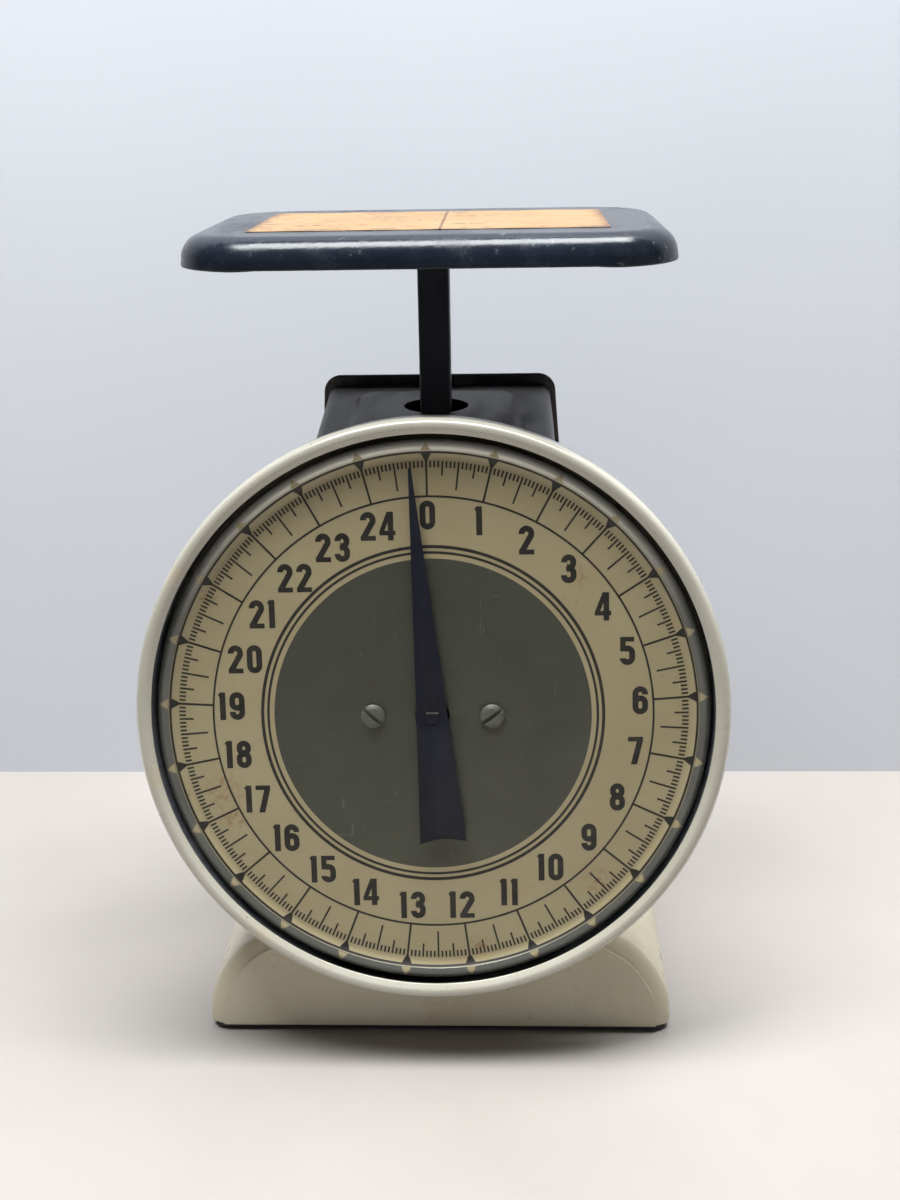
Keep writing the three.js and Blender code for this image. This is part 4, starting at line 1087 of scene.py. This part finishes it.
def glyph_fields():
    """Signed distance fields of ten condensed bold digits, in millimetres, negative inside."""
    xs = np.arange(-GLYPH_REACH_X, GLYPH_REACH_X + 0.0001, GLYPH_STEP)
    ys = np.arange(-GLYPH_REACH_Y, GLYPH_REACH_Y + 0.0001, GLYPH_STEP)
    grid_x, grid_y = np.meshgrid(xs, ys, indexing="ij")

    def loop(middle_x, middle_y, half_x, half_y, stroke=0.84, radius=None, x=grid_x, y=grid_y):
        radius = min(half_x, half_y) if radius is None else radius
        past_x = np.abs(x - middle_x) - half_x + radius
        past_y = np.abs(y - middle_y) - half_y + radius
        beyond = np.hypot(np.maximum(past_x, 0), np.maximum(past_y, 0))
        outside = beyond + np.minimum(np.maximum(past_x, past_y), 0) - radius
        return np.abs(outside) - stroke

    def bar(x0, y0, x1, y1, half, x=grid_x, y=grid_y):
        length = math.hypot(x1 - x0, y1 - y0)
        aim_x, aim_y = (x1 - x0) / length, (y1 - y0) / length
        along = (x - x0) * aim_x + (y - y0) * aim_y
        across = np.abs(-(x - x0) * aim_y + (y - y0) * aim_x)
        return np.maximum(across - half, np.maximum(-along, along - length))

    def box(x0, y0, x1, y1, x=grid_x, y=grid_y):
        return np.maximum(np.maximum(x0 - x, x - x1), np.maximum(y0 - y, y - y1))

    def unite(*fields):
        return np.minimum.reduce(fields)

    def clip(field, keep):
        return np.maximum(field, keep)

    def six(x, y):
        bowl = loop(0, -1.36, 1.38, 1.92, x=x, y=y)
        shell = loop(0, 0, 1.38, 3.28, x=x, y=y)
        keep = unite(box(-9, -2.0, 0.0, 9, x, y), box(-9, 1.7, 9, 9, x, y))
        return unite(bowl, clip(shell, keep))

    zero = loop(0, 0, 1.36, 3.28)
    flag = clip(bar(0.35, 3.95, -1.0, 3.05, 0.45), box(-1.2, 2.2, 0.7, 4.1))
    one = unite(box(-0.75, -4.1, 0.95, 4.1), flag)
    arch = clip(loop(0, 1.76, 1.36, 1.52), unite(box(-9, 1.75, 9, 9), box(0, 0.9, 9, 9)))
    slant = clip(bar(1.5, 1.6, -1.55, -3.6, 0.84), box(-2.2, -4.1, 2.2, 1.3))
    two = unite(arch, slant, box(-2.15, -4.1, 2.15, -2.7))
    notch = -box(-9, -1.8, -0.5, 1.85)
    three = unite(
        clip(unite(loop(0, 1.83, 1.28, 1.45), loop(0, -1.62, 1.36, 1.66)), notch),
        box(-0.75, -0.5, 0.7, 0.7),
    )
    four = unite(
        box(0.15, -4.1, 1.75, 4.1),
        box(-2.3, -2.6, 2.3, -1.3),
        clip(bar(0.75, 4.4, -1.75, -1.9, 0.66), box(-2.3, -2.5, 1.5, 4.1)),
    )
    five_bowl = clip(loop(0, -1.26, 1.36, 2.0), -box(-9, -2.1, -0.5, 0.5))
    five = unite(
        box(-2.05, 2.75, 1.95, 4.1),
        box(-2.05, -0.1, -0.5, 3.6),
        five_bowl,
        clip(bar(-1.9, 0.35, -0.3, 0.85, 0.5), box(-2.05, -1, 0.2, 1.6)),
    )
    seven = unite(
        box(-2.15, 2.75, 2.15, 4.1),
        clip(bar(1.45, 3.6, -0.6, -4.6, 0.85), box(-2.15, -4.1, 2.17, 4.1)),
    )
    eight = unite(loop(0, 1.86, 1.26, 1.42), loop(0, -1.58, 1.36, 1.68))
    fields = [zero, one, two, three, four, five, six(grid_x, grid_y), seven, eight, six(-grid_x, -grid_y)]
    return xs, ys, fields


def contour_loops(field, xs, ys):
    """Closed loops round the negative part, with the inside on the left."""
    inside = field < 0
    follow, places = {}, {}

    def edge_point(i0, j0, i1, j1):
        a, b = field[i0, j0], field[i1, j1]
        share = a / (a - b)
        return (xs[i0] + (xs[i1] - xs[i0]) * share, ys[j0] + (ys[j1] - ys[j0]) * share)

    for i in range(len(xs) - 1):
        for j in range(len(ys) - 1):
            corners = [(i, j), (i + 1, j), (i + 1, j + 1), (i, j + 1)]
            flags = [bool(inside[c]) for c in corners]
            if all(flags) or not any(flags):
                continue
            keys = [("h", i, j), ("v", i + 1, j), ("h", i, j + 1), ("v", i, j)]
            crossings = []
            for side in range(4):
                here, after = corners[side], corners[(side + 1) % 4]
                if flags[side] != flags[(side + 1) % 4]:
                    crossings.append((keys[side], flags[side]))
                    places[keys[side]] = edge_point(*here, *after)
            count = len(crossings)
            for index, (key, leaving) in enumerate(crossings):
                if leaving:
                    follow[key] = crossings[(index + 1) % count][0]
    loops = []
    while follow:
        start = next(iter(follow))
        key, loop = start, []
        while key in follow:
            loop.append(places[key])
            key = follow.pop(key)
        loops.append(thin_out(loop))
    return loops


def thin_out(loop):
    kept = [loop[0]]
    for index in range(1, len(loop)):
        here = Vector(loop[index])
        last = Vector(kept[-1])
        after = Vector(loop[(index + 1) % len(loop)])
        reach = (here - last).length
        if reach < 0.06:
            continue
        bend = (here - last).angle(after - here, 0.0) if (after - here).length > 1e-6 else 0.0
        if bend > math.radians(3.5) or reach > 0.9:
            kept.append(tuple(here))
    return kept


def signed_area(loop):
    return sum(loop[i - 1][0] * loop[i][1] - loop[i][0] * loop[i - 1][1] for i in range(len(loop))) / 2


def numeral_radius(turn, half_width, half_height=DIGIT_HALF_HEIGHT, limit=MIDDLE_CIRCLE - 1.15):
    """Puts the outermost corner of a number just inside the middle circle."""
    along_x, along_y = abs(math.sin(turn)), abs(math.cos(turn))
    middle = along_x * half_width + along_y * half_height
    spread = half_width * half_width + half_height * half_height
    return -middle + math.sqrt(middle * middle + limit * limit - spread)


def numerals():
    xs, ys, fields = glyph_fields()
    glyphs = []
    for field in fields:
        loops = contour_loops(field, xs, ys)
        outer = max(loops, key=signed_area)
        holes = [loop for loop in loops if signed_area(loop) < 0]
        glyphs.append((outer, holes))
    parts = []
    for number in range(POUNDS):
        turn = TAU * number / POUNDS
        text = str(number)
        advances = [3.15 if digit == "1" else 5.45 for digit in text]
        half_width = sum(advances) / 2 - 0.55
        radius = numeral_radius(turn, half_width)
        centre = Vector((math.sin(turn) * radius, math.cos(turn) * radius))
        cursor = -sum(advances) / 2
        for digit, advance in zip(text, advances):
            shift = centre + Vector((cursor + advance / 2, 0))
            cursor += advance
            outer, holes = glyphs[int(digit)]
            moved = [(x + shift.x, y + shift.y) for x, y in outer]
            moved_holes = [[(x + shift.x, y + shift.y) for x, y in hole] for hole in holes]
            parts.append(plate(moved, moved_holes, CREAM_HIGH, INK_HIGH, 0.0, 1))
    piece("dial_numerals", joined(parts), INK, "case", PRINT_PLACE)


def lens():
    low, high, radius = 3.15, 4.0, 83.5
    start, end = (0, low), (0, high)
    points = [start, (radius, low), (radius, high), end]
    profile = [start] + rounded(points, [0, 0.3, 0.3, 0], 3)[1:-1] + [end]
    piece(
        "lens_glass", revolve(profile, 192, closed=False), GLASS, "case", RING_PLACE, ["lens"],
    )


def pointer():
    tip, tail, shaft = 72.0, 36.9, 1.28
    tail_curve = []
    for step in range(11):
        share = step / 10
        x = -6.75 + 13.5 * share
        tail_curve.append((x, -tail - 0.55 + 1.15 * math.sin(math.pi * share)))
    outline = [(0.42, tip - 0.3), (0.15, tip), (-0.15, tip), (-0.42, tip - 0.3)]
    outline += [(-4.55, 0.0)] + tail_curve + [(4.55, 0.0)]
    hole = circle(shaft, 32)
    hole.reverse()
    piece(
        "pointer_blade", plate(outline, [hole], 2.25, 2.75, 0.12, 2), POINTER, "pointer_unit",
        POINTER_PLACE, ["pointer"], angle=28,
    )
    profile = rounded(
        [(shaft, 0.5), (4.2, 0.5), (4.2, 1.4), (3.0, 2.15), (shaft, 2.15)], [0.1, 0.2, 0.3, 0.3, 0.1], 4,
    )
    piece(
        "pointer_boss", revolve(profile, 64), BRASS, "pointer_unit", POINTER_PLACE, ["pointer_hub"],
    )
    profile = [(0, 2.72), (1.9, 2.72), (1.9, 2.9), (1.6, 3.02), (0, 3.06)]
    piece(
        "pointer_cap", revolve(profile, 48, closed=False), POINTER, "pointer_unit", POINTER_PLACE,
    )
    # Painted highlight: a thin bright steel bar on the cap, set square to the dial rather than turning with
    # the pointer, standing in for the glint on the shaft's end
    piece(
        "pointer_cap_glint",
        plate(rounded_rectangle(3.6, 0.42, 0.15, 3, (0.1, 1.45)), [], 2.70, 3.08, 0.08, 2), SCREW_STEEL,
        "pointer_unit", DIAL_PLACE,
    )


# ---------------------------------------------------------------- platform


def tray():
    width = TRAY_HIGH[0] - TRAY_LOW[0]
    depth = TRAY_HIGH[1] - TRAY_LOW[1]
    low, high = TRAY_LOW[2], TRAY_HIGH[2]
    corner, edge = 24.0, 7.0

    def droop(x, y):
        """The skirt hangs a little higher between its corners."""
        along, reach = (abs(x), width / 2) if abs(y) > depth / 2 - corner else (abs(y), depth / 2)
        return 0.75 * (1 - smooth_step(along, reach - 33, reach - 16))

    def loop(distance, height):
        points = rounded_rectangle(width - 2 * distance, depth - 2 * distance, corner - distance, 16)
        share = max(0.0, 1 - (height - low) / 4)
        return [(x, y, height + share * droop(x, y)) for x, y in points]

    outer = [(0.55, low + 0.0), (0.15, low + 0.12), (0.0, low + 0.5), (0.12, low + 1.2), (0.22, low + 1.9)]
    for step in range(13):
        turn = math.pi / 2 * step / 12
        outer.append((0.22 + edge * (1 - math.cos(turn)), high - (high - low - 1.9) * (1 - math.sin(turn))))
    outer += [(9.5, high), (14.0, high), (20.0, high)]
    inner = [(20.0, high - SHEET), (14.0, high - SHEET), (9.0, high - SHEET)]
    for step in range(12, -1, -1):
        turn = math.pi / 2 * step / 12
        distance = 1.42 + (edge - 1.0) * (1 - math.cos(turn))
        inner.append((distance, high - SHEET - (high - low - 3.0) * (1 - math.sin(turn))))
    inner += [(1.35, low + 0.9), (1.2, low + 0.2), (0.95, low)]
    verts, faces, starts = [], [], []
    for distance, height in outer + inner:
        starts.append(len(verts))
        verts += loop(distance, height)
    count = len(verts) // len(starts)
    top_row = len(outer) - 1
    for row in range(len(starts)):
        if row == top_row:
            continue
        faces += band(starts[row], starts[(row + 1) % len(starts)], count)
    for row in (top_row, top_row + 1):
        faces.append([starts[row] + index for index in range(count)])
    piece(
        "tray_sheet", (verts, faces), BLACK_TRAY, "platform", POST_PLACE, replaces=["platform_tray"],
        angle=60,
    )


def label():
    low_corner, high_corner = (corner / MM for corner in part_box("platform_label"))
    steps_x, steps_y = 102, 64
    verts, faces = [], []
    random.seed(4)
    nicks = [(random.uniform(-51, 51), random.choice((-32, 32)), random.uniform(0.3, 0.9)) for _ in range(9)]
    for layer in (1, 0):
        for i in range(steps_x + 1):
            for j in range(steps_y + 1):
                x = low_corner.x + (high_corner.x - low_corner.x) * i / steps_x
                y = low_corner.y + (high_corner.y - low_corner.y) * j / steps_y
                height = low_corner.z + 0.004
                if layer:
                    height = high_corner.z - 0.12 + 0.05 * math.sin(x * 0.31) * math.sin(y * 0.23 + 0.8)
                    height += 0.07 * math.exp(-(((x - LABEL_FOLD) / 0.7) ** 2))
                if j in (0, steps_y):
                    for nick_x, nick_y, size in nicks:
                        if abs(nick_y - y) < 1:
                            y -= math.copysign(size * math.exp(-(((x - nick_x) / 1.3) ** 2)), y)
                verts.append((x, y, height))
    row = steps_y + 1
    layer_size = (steps_x + 1) * row
    for i in range(steps_x):
        for j in range(steps_y):
            a = i * row + j
            faces.append([a, a + row, a + row + 1, a + 1])
            b = a + layer_size
            faces.append([b, b + 1, b + row + 1, b + row])
    rim = [i * row for i in range(steps_x + 1)] + [steps_x * row + j for j in range(1, steps_y + 1)]
    rim += [i * row + steps_y for i in range(steps_x - 1, -1, -1)] + [j for j in range(steps_y - 1, 0, -1)]
    for index in range(len(rim)):
        a, b = rim[index], rim[(index + 1) % len(rim)]
        faces.append([a, b, b + layer_size, a + layer_size])
    piece(
        "label_sheet", (verts, faces), PAPER, "platform", replaces=["platform_label"],
        angle=50,
    )


def post():
    low, high = POST_LOW, POST_HIGH
    width = high.x - low.x
    hole = rounded_rectangle(width - 2.8, width - 2.8, 0.6, 3)
    hole.reverse()
    piece(
        "post_tube", plate(rounded_rectangle(width, width, 1.1, 5), [hole], low.z, high.z, 0.15, 2),
        BLACK_POST, "platform", POST_PLACE, replaces=["post"],
    )


# ---------------------------------------------------------------- springs


def sweep(points, radius, sides=12):
    """A closed round wire along a path."""
    path = [Vector(p) for p in points]
    normal = Vector((0, 1, 0))
    rings, verts, faces = [], [], []
    for index, point in enumerate(path):
        ahead = path[min(index + 1, len(path) - 1)] - path[max(index - 1, 0)]
        ahead.normalize()
        normal = (normal - ahead * normal.dot(ahead)).normalized()
        side = ahead.cross(normal)
        rings.append(len(verts))
        for step in range(sides):
            turn = TAU * step / sides
            verts.append(tuple(point + normal * (radius * math.cos(turn)) + side * (radius * math.sin(turn))))
    for lower, upper in zip(rings, rings[1:]):
        faces += band(lower, upper, sides)
    faces.append([rings[0] + step for step in range(sides)])
    faces.append([rings[-1] + step for step in range(sides)])
    return verts, faces


def main_spring(side, name, node):
    arm_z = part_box("load_bracket")[0].z / MM
    hanger_z = 140.0
    x0 = side * 19.0
    top, bottom = hanger_z + 2.95, arm_z - 1.35
    coil_top, coil_bottom = hanger_z - 7, arm_z + 9
    coil_radius, wire_radius, turns = 5.0, 0.88, 16
    points = [(4, 0, top), (1.7, 0, top), (0.35, 0, top - 0.45), (0, 0, top - 1.8), (0, 0, coil_top + 3)]
    steps = turns * 16
    for step in range(steps + 1):
        share = step / steps
        turn = TAU * turns * share
        radius = coil_radius * min(1, (step + 3) / 10, (steps - step + 3) / 10)
        height = coil_top + (coil_bottom - coil_top) * share
        points.append((radius * math.cos(turn), radius * math.sin(turn), height))
    points += [(0, 0, coil_bottom - 3), (0, 0, bottom + 1.8)]
    points += [(0.35, 0, bottom + 0.45), (1.7, 0, bottom), (4, 0, bottom)]
    fine = spline(points, 2)
    verts, faces = sweep([(x + x0, y + POST_Y, z) for x, y, z in fine], wire_radius)
    mesh = solid_mesh(name, verts, faces)
    mesh.materials.append(WIRE)
    obj = add_object(name, mesh)
    dress(obj)
    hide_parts(node)
    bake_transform(obj)


# ---------------------------------------------------------------- build the pieces

body_panel()
top_cover()
rear_cover()
bezel()
housing()
dial_face()
dial_cream_print()
dial_lines()
numerals()
lens()
pointer()
tray()
label()
post()
main_spring(-1, "coil_left", "main_spring_left")
main_spring(1, "coil_right", "main_spring_right")

DIAL_SCREW_SIZE = (3.5, 1.45, 1.8, DIAL_SCREW_LENGTH)
DIAL_SCREW_LIFT = 0.35
for side, word, slot_turn in ((-1, "left", -0.70), (1, "right", 0.61)):
    place = DIAL_PLACE @ Matrix.Translation((side * DIAL_SCREW_X * MM, 0, DIAL_SCREW_LIFT * MM))
    slotted_screw(f"face_screw_{word}", place, DIAL_SCREW_SIZE, slot_turn, f"dial_screw_{word}", SCREW_STEEL)
REAR_SCREW_SIZE = (3.2, 1.7, 1.6, 3.2)
REAR_SCREW_LIFT = 0.6 + SHEET
rear_words = ["low_left", "low_right", "high_left", "high_right"]
for (x, up), word, slot_turn in zip(REAR_SCREWS, rear_words, (0.4, 1.2, -0.3, 0.9)):
    place = REAR_PLACE @ Matrix.Translation((x * MM, -up * MM, REAR_SCREW_LIFT * MM))
    slotted_screw(f"cover_screw_{word}", place, REAR_SCREW_SIZE, slot_turn, f"rear_screw_{word}", STEEL)

CARRIED = {
    "base_pan": PAN_BLACK,
    "zero_wheel": PLASTIC,
    "rack": BRASS,
    "pinion": BRASS,
    "shaft_bush_front": BRASS,
    "shaft_bush_rear": BRASS,
    "post_flange": STEEL,
}
for node_name, obj in frame["nodes"].items():
    if obj.hide_render:
        continue
    if node_name.startswith("foot_"):
        material = RUBBER
    else:
        material = CARRIED.get(node_name, STEEL)
    obj.data.materials.clear()
    obj.data.materials.append(material)
    dress(obj, 32)
    add_edge(obj, 0.12, 50)

# ---------------------------------------------------------------- floor, backdrop, light and camera


def staged_plane(name, corners, material):
    """A flat sheet round the scale, from corners in metres."""
    mesh = bpy.data.meshes.new(name)
    mesh.from_pydata(corners, [], [tuple(range(len(corners)))])
    mesh.materials.append(material)
    add_object(name, mesh)


floor_look = Look("floor_pale", roughness=0.5)
patches = floor_look.ramp(floor_look.noise(5, 4), 0.35, 0.7)
floor_look.set("Base Color", floor_look.mix(patches, (0.37, 0.34, 0.315), (0.32, 0.295, 0.27)))
backdrop_look = Look("backdrop_pale", roughness=0.8)
patches = backdrop_look.ramp(backdrop_look.noise(3, 3), 0.3, 0.7)
backdrop_look.set("Base Color", backdrop_look.mix(patches, (0.50, 0.515, 0.55), (0.47, 0.485, 0.52)))

# The backdrop is solid from the front and clear from behind, so the back of the scale can be seen too
see_through = backdrop_look.nodes.new("ShaderNodeBsdfTransparent")
facing_away = backdrop_look.nodes.new("ShaderNodeNewGeometry").outputs["Backfacing"]
backdrop_look.layered(facing_away, backdrop_look.shader, see_through)

# Places of the floor, backdrop, lights and camera are in metres
WALL_Y = 0.142
WALL_TOP_Y, WALL_TOP_Z = WALL_Y + 0.35, 2.4
REACH = 3
floor_corners = [(-REACH, -REACH, 0), (REACH, -REACH, 0), (REACH, REACH, 0), (-REACH, REACH, 0)]
wall_corners = [
    (-REACH, WALL_Y, 0), (REACH, WALL_Y, 0),
    (REACH, WALL_TOP_Y, WALL_TOP_Z), (-REACH, WALL_TOP_Y, WALL_TOP_Z),
]
staged_plane("floor", floor_corners, floor_look.material)
staged_plane("backdrop", wall_corners, backdrop_look.material)


def area_light(name, place, target, size, size_y, power, colour):
    data = bpy.data.lights.new(name, "AREA")
    data.shape = "RECTANGLE"
    data.size, data.size_y = size, size_y
    data.energy = power
    data.color = colour
    obj = add_object(name, data)
    obj.location = place
    obj.rotation_euler = (Vector(target) - Vector(place)).to_track_quat("-Z", "Y").to_euler()


area_light("overhead", (0.03, -0.08, 1.22), (0.0, 0.0, 0.12), 1.2, 0.42, 42.0, (0.96, 0.98, 1.0))
area_light("front_fill", (0.2, -1.9, 0.9), (0.0, 0.0, 0.1), 1.8, 1.2, 0.5, (1.0, 0.97, 0.92))

world = bpy.data.worlds.new("studio")
world.use_nodes = True
background = world.node_tree.nodes["Background"]
background.inputs["Color"].default_value = (0.90, 0.94, 1.0, 1)
WORLD_LIGHT, WORLD_SEEN = 0.11, 0.7
# The camera sees the world brighter than it lights the scale
light_path = world.node_tree.nodes.new("ShaderNodeLightPath")
seen_or_light = world.node_tree.nodes.new("ShaderNodeMapRange")
seen_or_light.inputs["To Min"].default_value = WORLD_LIGHT
seen_or_light.inputs["To Max"].default_value = WORLD_SEEN
world.node_tree.links.new(light_path.outputs["Is Camera Ray"], seen_or_light.inputs["Value"])
world.node_tree.links.new(seen_or_light.outputs["Result"], background.inputs["Strength"])
bpy.context.scene.world = world

camera_data = bpy.data.cameras.new("camera")
camera_data.lens = 46.5
camera_data.sensor_fit = "VERTICAL"
camera_data.sensor_height = 36.0
camera_data.clip_start = 0.01
camera = add_object("camera", camera_data)
# Fitted to the photograph, from the point on the bench below the post's middle
CAMERA_PLACE = Matrix.Translation((0.0226, -0.4736, 0.2772))
forward = Vector((-0.0389, 0.9485, -0.3143)).normalized()
up = Vector((0.0049, 0.3148, 0.9492))
right = forward.cross(up).normalized()
up = right.cross(forward)
rotation = Matrix((right, up, -forward)).transposed().to_4x4()
camera.matrix_world = POST_PLACE @ CAMERA_PLACE @ rotation
bpy.context.scene.camera = camera

bpy.context.scene.view_settings.view_transform = "Standard"
bpy.context.scene.view_settings.look = "None"
